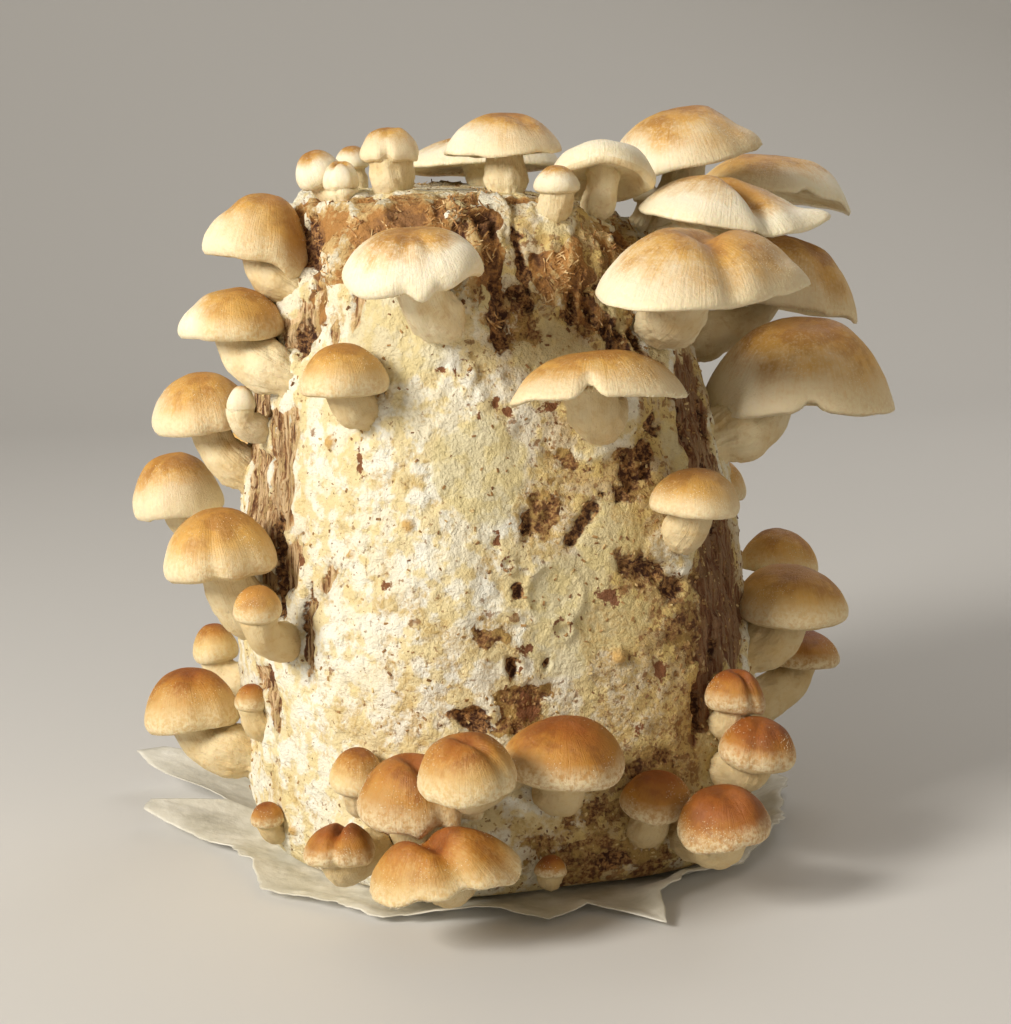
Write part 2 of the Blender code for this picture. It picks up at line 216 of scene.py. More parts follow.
def fibreGroup():
    # streaks along the third axis of the vector
    tree, given, out = newGroup("fibres", "ShaderNodeTree", [
        ("Vector", "Vector", None), ("Across", "Float", 600.0), ("Along", "Float", 60.0)], "Streaks", "Float")
    sizes = addNode(tree, "ShaderNodeCombineXYZ", {
        0: given.outputs["Across"], 1: given.outputs["Across"], 2: given.outputs["Along"]})
    scaled = addNode(tree, "ShaderNodeVectorMath", {0: given.outputs["Vector"], 1: sizes.outputs[0]},
                     operation="MULTIPLY")
    noise = addNode(tree, "ShaderNodeTexNoise", {
        "Vector": scaled.outputs[0], "Scale": 1.0, "Detail": 5.0, "Roughness": 0.62, "Distortion": 0.4})
    share = addNode(tree, "ShaderNodeMapRange", {"Value": noise.outputs[0], "From Min": 0.3, "From Max": 0.7})
    tree.links.new(share.outputs[0], out.inputs["Streaks"])
    return tree


specks, fibres = speckGroup(), fibreGroup()


class Finish:
    # a material in the making: its nodes, its named tones, and the colour laid on so far
    def __init__(self, name, sockets, tones):
        self.material = bpy.data.materials.new(name)
        self.material.use_nodes = True
        self.tree, self.tones, self.colour = self.material.node_tree, tones, None
        self.shader = self.tree.nodes["Principled BSDF"]
        for key, value in sockets.items():
            self.shader.inputs[key].default_value = value
        self.spot = self.add("ShaderNodeTexCoord").outputs["Object"]

    def add(self, kind, inputs=None, **settings):
        return addNode(self.tree, kind, inputs, **settings)

    def maths(self, operation, *values):
        return self.add("ShaderNodeMath", dict(enumerate(values)), operation=operation).outputs[0]

    def times(self, first, second):
        return self.maths("MULTIPLY", first, second)

    def timesPlus(self, first, second, more):
        return self.maths("MULTIPLY_ADD", first, second, more)

    def shaken(self, value, noise, amount):
        # the value, moved up and down by noise
        return self.timesPlus(self.maths("SUBTRACT", noise, 0.5), amount, value)

    def spread(self, value, low, high, toLow=0.0, toHigh=1.0, **settings):
        ends = {"Value": value, "From Min": low, "From Max": high, "To Min": toLow, "To Max": toHigh}
        return self.add("ShaderNodeMapRange", ends, **settings).outputs[0]

    def noise(self, scale, detail=3.0, roughness=0.55):
        return self.add("ShaderNodeTexNoise", {"Vector": self.spot, "Scale": scale, "Detail": detail,
                                               "Roughness": roughness}).outputs[0]

    def read(self, name, output="Fac"):
        return self.add("ShaderNodeAttribute", attribute_name=name).outputs[output]

    def specks(self, scale, amount, softness):
        return self.add("ShaderNodeGroup", {"Vector": self.spot, "Scale": scale, "Amount": amount,
                                            "Softness": softness}, node_tree=specks).outputs[0]

    def fibres(self, across, along, vector=None):
        vector = self.spot if vector is None else vector
        return self.add("ShaderNodeGroup", {"Vector": vector, "Across": across, "Along": along},
                        node_tree=fibres).outputs[0]

    def raggedEdge(self, name, noise, amount, width=0.07):
        # a mask from the mesh, with its edge broken up by noise
        share = self.shaken(self.read(name), noise, amount)
        return self.spread(share, 0.5 - width, 0.5 + width, interpolation_type="SMOOTHSTEP")

    def blend(self, share, first, second):
        # a share in brackets is spread first, and a colour in quotes is one of the tones
        if isinstance(share, tuple):
            share = self.spread(*share)
        first, second = [(*self.tones[c], 1.0) if isinstance(c, str) else c for c in (first, second)]
        return self.add("ShaderNodeMix", {"Factor": share, 6: first, 7: second}, data_type="RGBA").outputs[2]

    def layers(self, colour, *rows):
        for share, over in rows:
            colour = self.blend(share, colour, over)
        return colour

    def cover(self, share, colour):
        self.colour = self.blend(share, self.colour, colour)

    def wire(self, value, socket="Base Color"):
        self.tree.links.new(value, self.shader.inputs[socket])

    def bump(self, height, distance, strength=1.0):
        node = self.add("ShaderNodeBump", {"Height": height, "Distance": distance, "Strength": strength})
        self.wire(node.outputs[0], "Normal")


logShape = {
    # radius and height up the side, in mm
    "outline": [(0, 1), (40, 1), (66, 1.4), (72.5, 7), (74.5, 21), (74.5, 46), (73.5, 71), (70.5, 100),
                (67, 123), (63.3, 144), (60.3, 158), (57.5, 168), (55, 177), (50.5, 184), (43, 187.4),
                (26, 188.3), (0, 188.5)],
    "height": 188.5, "lean": -6, "topFall": 2.9, "ridge": -18,
    # bearing in degrees, reach and share of the radius
    "swells": [(-17, 17, 0.055), (49, 17, 0.045), (16, 15, -0.035), (-115, 25, 0.03), (150, 20, 0.04),
               (-165, 18, -0.03)],
    # bearing, height, reach in degrees, half height and size in mm
    "lumps": [(-52, 168, 10, 13, -3.5), (-37, 172, 9, 10, 2.0), (3, 172, 7, 12, 2.2), (15, 170, 7, 14, -2.2),
              (28, 168, 9, 9, 2.0), (45, 128, 9, 16, -2.0), (58, 100, 9, 26, -1.8), (-70, 115, 10, 24, -1.8),
              (118, 150, 12, 16, 2.4), (176, 150, 13, 18, -2.4), (-120, 70, 14, 20, 2.2),
              (155, 60, 13, 18, -2.0)],
    "around": 430, "rows": 226, "frontDetail": 0.2,
    # fewer rows underneath, up to this height, and on top, within this radius
    "underHeight": 2.5, "underDetail": 0.12, "topRadius": 46, "topDetail": 0.6,
    "sideRadius": 72,  # mm, where bearings are turned into lengths along the side
}
# How ragged each kind of patch is, and its patches: bearing in degrees, height, half width and half height
# in mm, and lean in degrees where it isn't upright.
raggedness = {"bark": 0.6, "dark": 0.5, "crumb": 0.7, "rust": 0.6, "skin": 0.4, "amber": 0.5, "stain": 0.7}
logPatches = {
    "bark": [(-68, 121, 24, 29), (-55, 120, 9, 24), (-62, 94, 14, 18, 4), (-50, 90, 6, 8, 30),
             (-60, 66, 5, 14), (-57, 48, 3.2, 9, -6), (-42, 72, 2.2, 9, 6), (-36, 88, 2, 5, 40),
             (-53, 152, 9, 11), (-44, 161, 3, 7), (-37, 153, 2.4, 4), (-30, 160, 2.6, 5),
             (64, 122, 15, 34, -2), (60, 84, 17, 30, -2), (49, 64, 4.5, 11, -8), (46, 49, 4, 10, 4),
             (52, 150, 12, 12), (36, 158, 3, 8), (140, 95, 13, 45, 5), (-150, 118, 11, 34, -6),
             (-125, 60, 8, 22, 8), (100, 44, 7, 22), (176, 46, 8, 20, -10), (-100, 150, 8, 18),
             (98, 150, 10, 20, 4), (-168, 160, 7, 10)],
    "dark": [(37, 153, 4, 6, -25), (43, 146, 6, 4, 10), (-58, 173, 6, 9, -10), (-50, 167, 3, 5),
             (-2, 178, 3, 4), (7, 158, 3.6, 8, 6), (13, 163, 5, 1.6, 30), (26, 161, 2.2, 3.5, 20),
             (32, 159, 1.3, 7, -22), (36, 152, 1.1, 1.1), (15, 173, 2.2, 8, -5), (46, 157, 8, 7, -20),
             (43, 166, 8, 3, 12), (44, 129, 3.6, 4.6, 20), (39, 121, 3.2, 4, 25), (34, 114, 3, 5.5, 10),
             (39, 115, 1.8, 2.5), (31, 108, 1.5, 2.2), (21, 101, 2.2, 8, 38), (9, 103, 1.5, 3.5, 10),
             (36, 88.5, 8, 2.6, 10), (41, 83, 2.8, 4.5), (6, 85, 1.7, 2), (3.5, 66, 1.5, 2.8, -12),
             (11, 66, 1.1, 2, 20), (-4, 52, 5.5, 3.4, 18), (-54, 82, 3.4, 8), (-49, 66, 3.4, 2.6),
             (-44, 75, 1.2, 7, 6), (-42, 84, 1.1, 4, 20), (-52, 150, 6, 5, -10), (-49, 141, 2, 4),
             (-55, 96, 3, 6), (42, 8, 4, 2.2), (51, 64, 2, 5), (45, 47, 2.2, 7), (62, 100, 2.4, 14),
             (68, 130, 2.4, 12), (55, 132, 2, 9), (25, 9, 7, 2.6), (128, 120, 3, 5), (150, 130, 2, 6, 15),
             (-165, 92, 3, 4), (-140, 40, 2.5, 5, -10), (-110, 118, 2, 4), (120, 66, 3, 3), (160, 164, 5, 4),
             (-130, 168, 4, 5), (-178, 120, 1.6, 2.4), (112, 100, 1.5, 3), (-23, 17, 4, 2.4)],
    "stain": [(-3, 73, 10, 5, 5), (-17, 83, 7, 4), (-15, 115, 4, 3), (14, 104, 11, 11), (32, 40, 18, 20),
              (20, 22, 18, 10), (38, 100, 12, 16), (0, 92, 4, 4), (28, 66, 12, 12), (-8, 40, 9, 5),
              (-30, 50, 6, 5), (-24, 136, 5, 4), (140, 120, 20, 20), (-150, 60, 16, 16), (100, 80, 14, 16)],
    "crumb": [(13, 106, 5, 7), (5, 53, 8, 7), (22, 11, 24, 7, 2), (18, 24, 9, 5, 10), (33, 34, 7, 7),
              (47, 158, 7, 7), (36, 120, 5, 9, 12), (38, 88, 11, 4, 8), (20, 120, 5, 3), (-22, 18, 8, 5),
              (42, 70, 5, 9), (-1, 74, 4, 2.5, 10), (8, 152, 6, 3), (27, 161, 5, 6), (14, 160, 7, 6),
              (-1, 164, 4, 4), (60, 172, 10, 9), (130, 25, 14, 8), (-100, 20, 12, 8), (-155, 70, 9, 8),
              (105, 120, 9, 10), (150, 76, 10, 7), (165, 135, 8, 6), (-115, 95, 6, 9), (-140, 150, 7, 7),
              (120, 50, 6, 9), (-170, 12, 16, 7)],
    "rust": [(-29, 127, 1.7, 2), (-27.5, 121, 0.8, 5, -8), (-8, 144, 1.5, 1.3), (4, 135, 1.1, 1.1),
             (7, 133, 1.2, 1.1), (0, 131, 0.8, 1.6), (2, 99, 1.3, 2.4, 15), (7, 70.5, 2.4, 1.3),
             (26, 82, 3, 1.8), (-21, 88, 1.2, 1), (6, 55, 3, 3.6), (17, 134, 3.4, 1.2, -8),
             (-50, 143, 1.6, 4), (-46, 92, 3, 2.4), (-57, 60, 2.4, 6), (172, 100, 2, 3), (-120, 130, 2, 2),
             (36, 60, 1.4, 2.4), (30, 46, 1.2, 1.8)],
    "amber": [(-51, 171, 6, 12), (-41, 178, 9, 6, 10), (-29, 180, 8, 5, -10), (-19, 183, 7, 4),
              (30, 172, 6, 7), (-44, 160, 3, 8), (46, 168, 6, 6), (-130, 172, 14, 8), (150, 174, 14, 7)],
    "skin": [(17, 84, 12, 10), (15, 70, 9, 8), (28, 98, 9, 9, 10), (26, 76, 10, 8), (20, 148, 12, 9),
             (48, 34, 6, 10, 5), (49, 120, 4, 9), (4, 160, 6, 8), (37, 158, 6, 8, 10), (-20, 152, 18, 12),
             (0, 118, 12, 14), (150, 110, 14, 14), (-135, 92, 12, 14), (95, 92, 10, 14)],
}
# ring-shaped scars and tiny buds: bearing, height and radius in mm
logScars = [(-3, 144, 3.2), (4, 93, 2.2), (15, 75, 3.2), (14, 84, 8), (4, 66, 2.6), (-170, 130, 4)]
logBuds = [(-36, 124, 1.7), (-16, 104, 1.6), (-52, 14, 1.5), (-49, 166, 1.8), (27, 66, 2.0), (-30, 95, 1.0),
           (140, 60, 2.0), (-140, 110, 1.8), (170, 90, 1.6)]


def outwards(bearing):
    turn = math.radians(bearing)
    return Vector((math.sin(turn), -math.cos(turn), 0.0))


def awayFrom(bearing, middle):
    return (bearing - middle + 180) % 360 - 180


def logPoints(bearing, radius, height):
    # the log's plain form, in metres, from arrays of bearings, radii and heights in mm
    full = np.ones_like(bearing)
    for middle, reach, share in logShape["swells"]:
        full += share * bell(awayFrom(bearing, middle) / reach)
    radius = radius * full
    for middle, level, reach, tall, size in logShape["lumps"]:
        lump = bell(awayFrom(bearing, middle) / reach, (height - level) / tall)
        radius = radius + size * lump * smoothStep(radius / 40)
    turn = np.radians(bearing)
    x = radius * np.sin(turn) + logShape["lean"] * (height / logShape["height"]) ** 1.3
    y = -radius * np.cos(turn)
    fall = logShape["topFall"] * mm * np.maximum(0, x - logShape["ridge"]) ** 2
    z = height - fall * smoothStep(height / logShape["height"] * 2 - 1)
    return np.stack([x, y, z], axis=-1) * mm


print("log: shape")
# rows of points close together up the side, and further apart underneath and on top
path = smoothPath(logShape["outline"], 1200)
density = np.where(path[1:, 0] < logShape["topRadius"], logShape["topDetail"], 1.0)
density = np.where(path[1:, 1] < logShape["underHeight"], logShape["underDetail"], density)
run = runAlong(path, density)
path = pointsAt(np.linspace(0, run[-1], logShape["rows"] + 2)[1:-1], run, path)
rows, around = len(path), logShape["around"]
columns = np.linspace(-180, 180, around, endpoint=False)
columns = columns - math.degrees(logShape["frontDetail"]) * np.sin(np.radians(columns))
gridBearing = np.repeat(columns[None, :], rows, axis=0)
gridRadius = np.repeat(path[:, :1], around, axis=1)
gridHeight = np.repeat(path[:, 1:], around, axis=1)
plain = logPoints(gridBearing, gridRadius, gridHeight)
alongRing = np.roll(plain, -1, axis=1) - np.roll(plain, 1, axis=1)
normals = np.cross(alongRing, np.gradient(plain, axis=0))
normals /= np.linalg.norm(normals, axis=-1, keepdims=True)
flat = plain.reshape(-1, 3)
bearings, heights, radii = gridBearing.ravel(), gridHeight.ravel(), gridRadius.ravel()
onSide = ramp(radii, 20, 16)


def fromPlace(bearing, height):
    # how far each point is from a place on the side: across and above, in mm
    return np.radians(awayFrom(bearings, bearing)) * logShape["sideRadius"], heights - height


def patchMask(ragged, seed, bearing, height, half, tall, lean=0):
    # 0.5 on the patch's outline, rising inwards
    across, above = fromPlace(bearing, height)
    turn = math.radians(lean)
    a = across * math.cos(turn) - above * math.sin(turn)
    b = across * math.sin(turn) + above * math.cos(turn)
    size = min(half, tall)
    fade = 2 * min(2.4, 0.8 + 0.4 * size)  # mm
    near = np.hypot(a / half, b / tall) < 2.2 + 3 / size
    depth = (1 - np.hypot(a[near] / half, b[near] / tall)) * size
    depth += ragged * min(size, 5) * layeredBumps(flat[near], (2.5 + 0.5 * size) * mm, seed)
    mask = np.zeros(len(bearings))
    mask[near] = np.clip(0.5 + depth / fade, 0, 1)
    return mask * onSide


def creases(size, seed):
    return np.clip(1 - 2.1 * np.abs(bumps(flat * np.array([1, 1, 0.6]), size * mm, seed)), 0, 1)


masks = {}
for index, (kind, ragged) in enumerate(raggedness.items()):
    masks[kind] = np.zeros(len(flat))
    for place, row in enumerate(logPatches[kind]):
        masks[kind] = np.maximum(masks[kind], patchMask(ragged, 100 * index + place, *row))

# The torn crust round the top: crumpled brown film and fibre, with cream tufts. It starts at this height in
# mm, and lower between two bearings; its edge wanders up and down.
crustShape = {"height": 163, "lower": 8, "lowerFrom": -8, "lowerTo": 66, "wander": 6,
              "creases": [(13, 0.5, 12), (6.5, 0.32, 29), (3, 0.18, 46)]}  # size in mm, share and seed
isLower = ramp(bearings, crustShape["lowerFrom"], 14) * smoothStep((crustShape["lowerTo"] - bearings) / 12)
edge = crustShape["height"] - crustShape["lower"] * isLower + crustShape["wander"] * bumps(flat, 18 * mm, 5)
crust = ramp(heights, edge, 4) * ramp(radii, 30, 14)
crumple = sum(share * creases(size, seed) for size, share, seed in crustShape["creases"])
tufts = crust * ramp(layeredBumps(flat * np.array([1, 1, 0.55]), 9 * mm, 9), 0.16, 0.2)
masks["crust"] = crust * (1 - 0.9 * tufts)
masks["crumple"] = crumple
# painted shade: the crust's deepest crease valleys join the dark patches and take their near-black colour
masks["dark"] = np.maximum(masks["dark"], masks["crust"] * 0.6 * smoothStep((0.18 - crumple) / 0.12))
upright = np.stack([np.radians(bearings) * logShape["sideRadius"], heights, radii * 0], axis=1)  # mm
masks["bark"] *= 1 - 0.75 * ramp(layeredBumps(upright * np.array([1, 0.3, 1]), 6, 31), 0.65, 0.25)

# heights and depths of the relief in mm, and how sharply a patch's edge steps
depths = {"swell": 0.75, "wave": 0.5, "lump": 0.8, "pock": 0.7, "stripe": 0.6, "bark": 0.9, "barkLump": 0.5,
          "crumb": 0.8, "crumbBed": 0.4, "crumple": 4.2, "crustBed": 2.4, "tuft": 0.8, "tuftLump": 0.6,
          "pit": 2.2, "pitLump": 0.6, "rust": 0.3, "ring": 0.7, "ringBed": 0.5}
edgeFrom, edgeWidth = 0.3, 0.4
# fine lumps and hollows all over the felt, then what each kind of patch adds
lumpy = 0.5 * bumps(flat, 5.2 * mm, 3) + 0.42 * bumps(flat, 3.0 * mm, 4) + 0.3 * bumps(flat, 1.9 * mm, 5)
pocks = ramp(bumps(flat, 3.4 * mm, 16), 0.38, 0.2) * smoothStep(0.45 + bumps(flat, 20 * mm, 17))
rough = 1 - 0.75 * masks["skin"]
relief = depths["swell"] * bumps(flat, 24 * mm, 1) + depths["wave"] * bumps(flat, 10 * mm, 2)
relief += rough * (depths["lump"] * lumpy - depths["pock"] * pocks)
stripes = bumps(upright * np.array([1 / 1.7, 1 / 14, 1]), 1.0, 7)
stripes += 0.6 * bumps(upright * np.array([1 / 1.2, 1 / 6, 1]), 1.0, 8)
bark = depths["stripe"] * stripes - depths["bark"] + depths["barkLump"] * bumps(flat, 7 * mm, 18)
relief += ramp(masks["bark"], edgeFrom, edgeWidth) * bark
crumbs = depths["crumb"] * bumps(flat, 2.3 * mm, 11) - depths["crumbBed"]
relief += ramp(masks["crumb"], edgeFrom, edgeWidth) * crumbs
relief += crust * (depths["crumple"] * crumple - depths["crustBed"])
relief += tufts * (depths["tuft"] + depths["tuftLump"] * bumps(flat, 3 * mm, 13))
pits = depths["pit"] - depths["pitLump"] * bumps(flat, 3 * mm, 14)
relief -= ramp(masks["dark"], 0.35, edgeWidth) * pits
relief -= depths["rust"] * ramp(masks["rust"], edgeFrom, edgeWidth)
for bearing, height, radius in logScars:
    q = np.hypot(*fromPlace(bearing, height)) / radius
    relief += depths["ring"] * bell((q - 1) * radius / 0.9) - depths["ringBed"] * bell(q / 0.6)
    masks["rust"] = np.maximum(masks["rust"], 0.6 * bell((q - 0.75) * radius / 0.8) * (radius < 5))
masks["bud"] = np.zeros(len(flat))
for bearing, height, radius in logBuds:
    q = np.hypot(*fromPlace(bearing, height)) / radius
    relief += radius * 1.1 * np.sqrt(np.clip(1 - q * q, 0, 1))
    masks["bud"] = np.maximum(masks["bud"], smoothStep((1.15 - q) / 0.3))
# painted shade: the hollows mask is high where the felt lies low between its lumps and in its pocks
masks["hollowShade"] = np.clip(0.35 - 0.75 * lumpy + 0.5 * pocks, 0, 1) * rough
# painted shade on the right front, which faces away from the key light, added to browner felt at the back and
# towards the bottom and some at random
ageAndShade = 0.72 * ramp(bearings, -15, 60) * smoothStep((120 - bearings) / 60)
ageAndShade += 0.3 * ramp(np.abs(bearings), 90, 60)
masks["ageAndShade"] = np.clip(ageAndShade + 0.25 * smoothStep((60 - heights) / 60) + 0.3 * bumps(flat, 26 * mm, 23), 0, 1)

# The mushrooms, by the CAD node's name without "mushroom_": form, cap width, cap height, the cap's bearing,
# distance from the axis, height of its edge, lean outwards, the foot's bearing, the foot's height (on top,
# its distance from the axis), stem width, brownness, and width over depth where the cap isn't round.
mushroomRow = namedtuple("mushroomRow", "form width height bearing reach level lean footBearing footPlace "
                                        "stem brown oval", defaults=(1.0,))
# low_8, right_1 and right_2 have a brownness above 1: painted shade, darkening these caps low on the right
# side, away from the key light
mushrooms = {
    "shelf_top_back": ("open", 48, 13, 118, 97.5, 182, 10, 108, 164, 12, 0.35),
    "shelf_top": ("open", 46.5, 11.5, 65, 70.5, 179.3, 6, 64, 166, 13, 0.2, 0.96),
    "shelf_front": ("open", 60, 16.5, 38.5, 86.5, 163, 6, 51, 150, 15, 0.4, 1.25),
    "shelf_back": ("open", 43, 20.5, 108, 91.5, 150.5, 14, 104, 138, 12, 0.4),
    "shelf_low": ("open", 49, 25, 88, 88, 124.5, 3, 78, 114, 16, 0.42, 0.88),
    "front_draped": ("domed", 36, 14, -14, 77.5, 167.8, 12, -10, 153, 12, 0.22, 1.1),
    "front_left": ("domed", 23, 12.5, -30, 77, 139, 2, -28, 130, 10, 0.64),
    "front_broad": ("open", 46, 12.5, 18.5, 84, 137.5, -7, 27, 128, 13, 0.55, 1.2),
    "front_right": ("domed", 24, 11, 40, 82, 104.5, 3, 42, 94, 10, 0.6),
    "left_1": ("domed", 27, 19, -71, 68, 170.3, -12, -63, 162, 10, 0.52),
    "left_2": ("domed", 28.5, 13.3, -68.5, 76, 150.4, 1, -57.5, 138, 12.5, 0.38),
    "left_3": ("domed", 29, 16, -87, 83.5, 122, 5, -84, 106, 11, 0.5),
    "left_pin": ("button", 8, 7, -66, 76.5, 130, -6, -68, 122, 7, 0.05),
    "left_4": ("domed", 27, 18, -96, 95, 95, 6, -95, 86, 10, 0.5),
    "left_5": ("domed", 31, 17, -58.5, 88.5, 88.5, 6, -63, 70, 14, 0.55),
    "left_6": ("button", 13, 9, -45, 90, 78.5, 6, -50, 66, 9, 0.85),
    "left_7": ("button", 14, 11, -103, 89, 47.5, 6, -101, 38, 9, 0.5),
    "left_8": ("domed", 28, 17, -84, 91, 36, 4, -80, 24, 14, 0.6),
    "left_9": ("button", 9.5, 7, -64.5, 78, 46, 0, -64, 36, 7, 0.65),
    "left_foot": ("button", 9.5, 6, -57.5, 78.5, 15, 6, -61, 9, 6, 0.8),
    "low_1": ("button", 14.5, 11, -27, 84, 34.5, 4, -28, 26, 8, 0.5),
    "low_2": ("domed", 30, 16, -14.5, 92, 31.8, 6, -17.5, 20, 11, 0.64, 1.15),
    "low_3": ("domed", 25, 15, -4.5, 110, 45, 8, 2, 36, 9, 0.6),
    "low_4": ("button", 18.5, 8.5, -25.5, 98, 20.5, 6, -26, 14, 10, 0.9),
    "low_5": ("open", 40, 12, -8.5, 107.6, 20.8, 16, -9.5, 11, 12.5, 0.6, 1.6),
    "low_6": ("domed", 31, 13.5, 10, 92, 43, 7, 11, 29, 12, 0.72),
    "low_7": ("domed", 19, 11, 29.5, 82.5, 25, 3, 30, 14, 9, 0.8),
    "low_8": ("domed", 24.5, 12.5, 34.5, 101.5, 22.5, 6, 42, 11, 12, 1.2),
    "low_bud": ("button", 8.5, 5, 9, 77, 10, 4, 9, 7, 6, 0.9),
    "right_1": ("button", 16, 10.5, 48, 85, 49, 4, 52, 40, 8, 1.05),
    "right_2": ("button", 21, 12, 46.5, 93.5, 36, 8, 52, 27, 10, 1.15),
    "right_3": ("domed", 24, 13, 107, 89, 69, 8, 102, 56, 10, 0.8),
    "right_4": ("domed", 33, 15, 80.5, 84.5, 64, 6, 76, 52, 14, 0.7),
    "right_5": ("domed", 26, 10, 108, 97, 39.5, 6, 100, 26, 12, 0.75),
    "back_1": ("open", 44, 15, 140, 86, 150, 8, 139, 138, 13, 0.4, 1.15),
    "back_2": ("open", 38, 15, 164, 86, 112, 8, 163, 99, 13, 0.5, 1.1),
    "back_3": ("domed", 30, 14, -172, 75, 158, 8, -171, 146, 11, 0.45),
    "back_4": ("domed", 27, 15, -138, 80, 142, 6, -137, 129, 11, 0.55),
    "back_5": ("domed", 24, 13, -122, 86, 104, 6, -121, 92, 10, 0.6),
    "back_6": ("domed", 32, 17, -152, 91, 76, 8, -151, 63, 13, 0.65),
    "back_7": ("button", 20, 12, 172, 85, 50, 4, 171, 41, 9, 0.8),
    "back_8": ("domed", 27, 14, 134, 92, 86, 8, 133, 74, 11, 0.6),
    "back_9": ("domed", 28, 15, 136, 95, 30, 8, 137, 18, 12, 0.85),
    "back_10": ("domed", 26, 14, -165, 94, 22, 8, -166, 12, 11, 0.9, 1.1),
    "back_11": ("button", 18, 12, -134, 91, 34, 6, -134, 24, 9, 0.85),
    "back_12": ("domed", 23, 11, -145, 71, 167, 6, -146, 154, 10, 0.45),
    "top_1": ("button", 13, 9, -66.5, 50, 191.5, 22, -60, 44, 7, 0.2),
    "top_pin": ("button", 10, 7.5, -54, 49, 190, 4, -54, 46, 8, 0.1),
    "top_2": ("button", 10, 6.5, -98, 39, 194.5, 4, -97, 37, 6, 0.35),
    "top_3": ("button", 16, 9, -41, 40, 197, 2, -41, 38, 11, 0.5),
    "top_wide": ("open", 48, 11, -178, 31, 193, 7, 178, 27, 12, 0.2, 1.2),
    "top_4": ("open", 32, 11.5, 12, 23, 198, 0, 12, 25, 10, 0.35),
    "top_curled": ("curled", 28, 8.5, 43, 45.5, 190.5, -25, 44, 42, 8, 0.05),
    "top_small": ("button", 12, 7, 22, 49, 188, 4, 22, 45.5, 8, 0.35),
    "top_5": ("open", 44, 16, 90, 56, 194, 9, 90, 45, 12, 0.35),
    "top_bud": ("button", 7.5, 5.5, 76, 45.5, 183.5, 4, 76, 42, 5, 0.1),
}
mushrooms = {name: mushroomRow(*row) for name, row in mushrooms.items()}
brownBelow = 60  # mm, the height under which the caps are the brown ones
# caps that lean another way than outwards: the bearing they lean towards
leanTowards = {"top_curled": -5, "low_5": -55, "low_8": -28, "top_5": -80, "shelf_front": 10}
# caps browner on one side: the bearing of that side, and how much browner
brownSides = {"left_1": (50, 0.2), "left_2": (40, 0.6), "left_3": (30, 0.12), "shelf_top_back": (-60, 0.35),
              "shelf_front": (50, 0.15), "shelf_low": (60, 0.2), "shelf_back": (60, 0.2),
              "left_5": (40, 0.15), "low_8": (60, 0.2), "top_5": (60, 0.25), "top_4": (30, 0.2),
              "front_draped": (-60, 0.12), "low_6": (40, 0.1), "low_2": (-40, 0.1)}
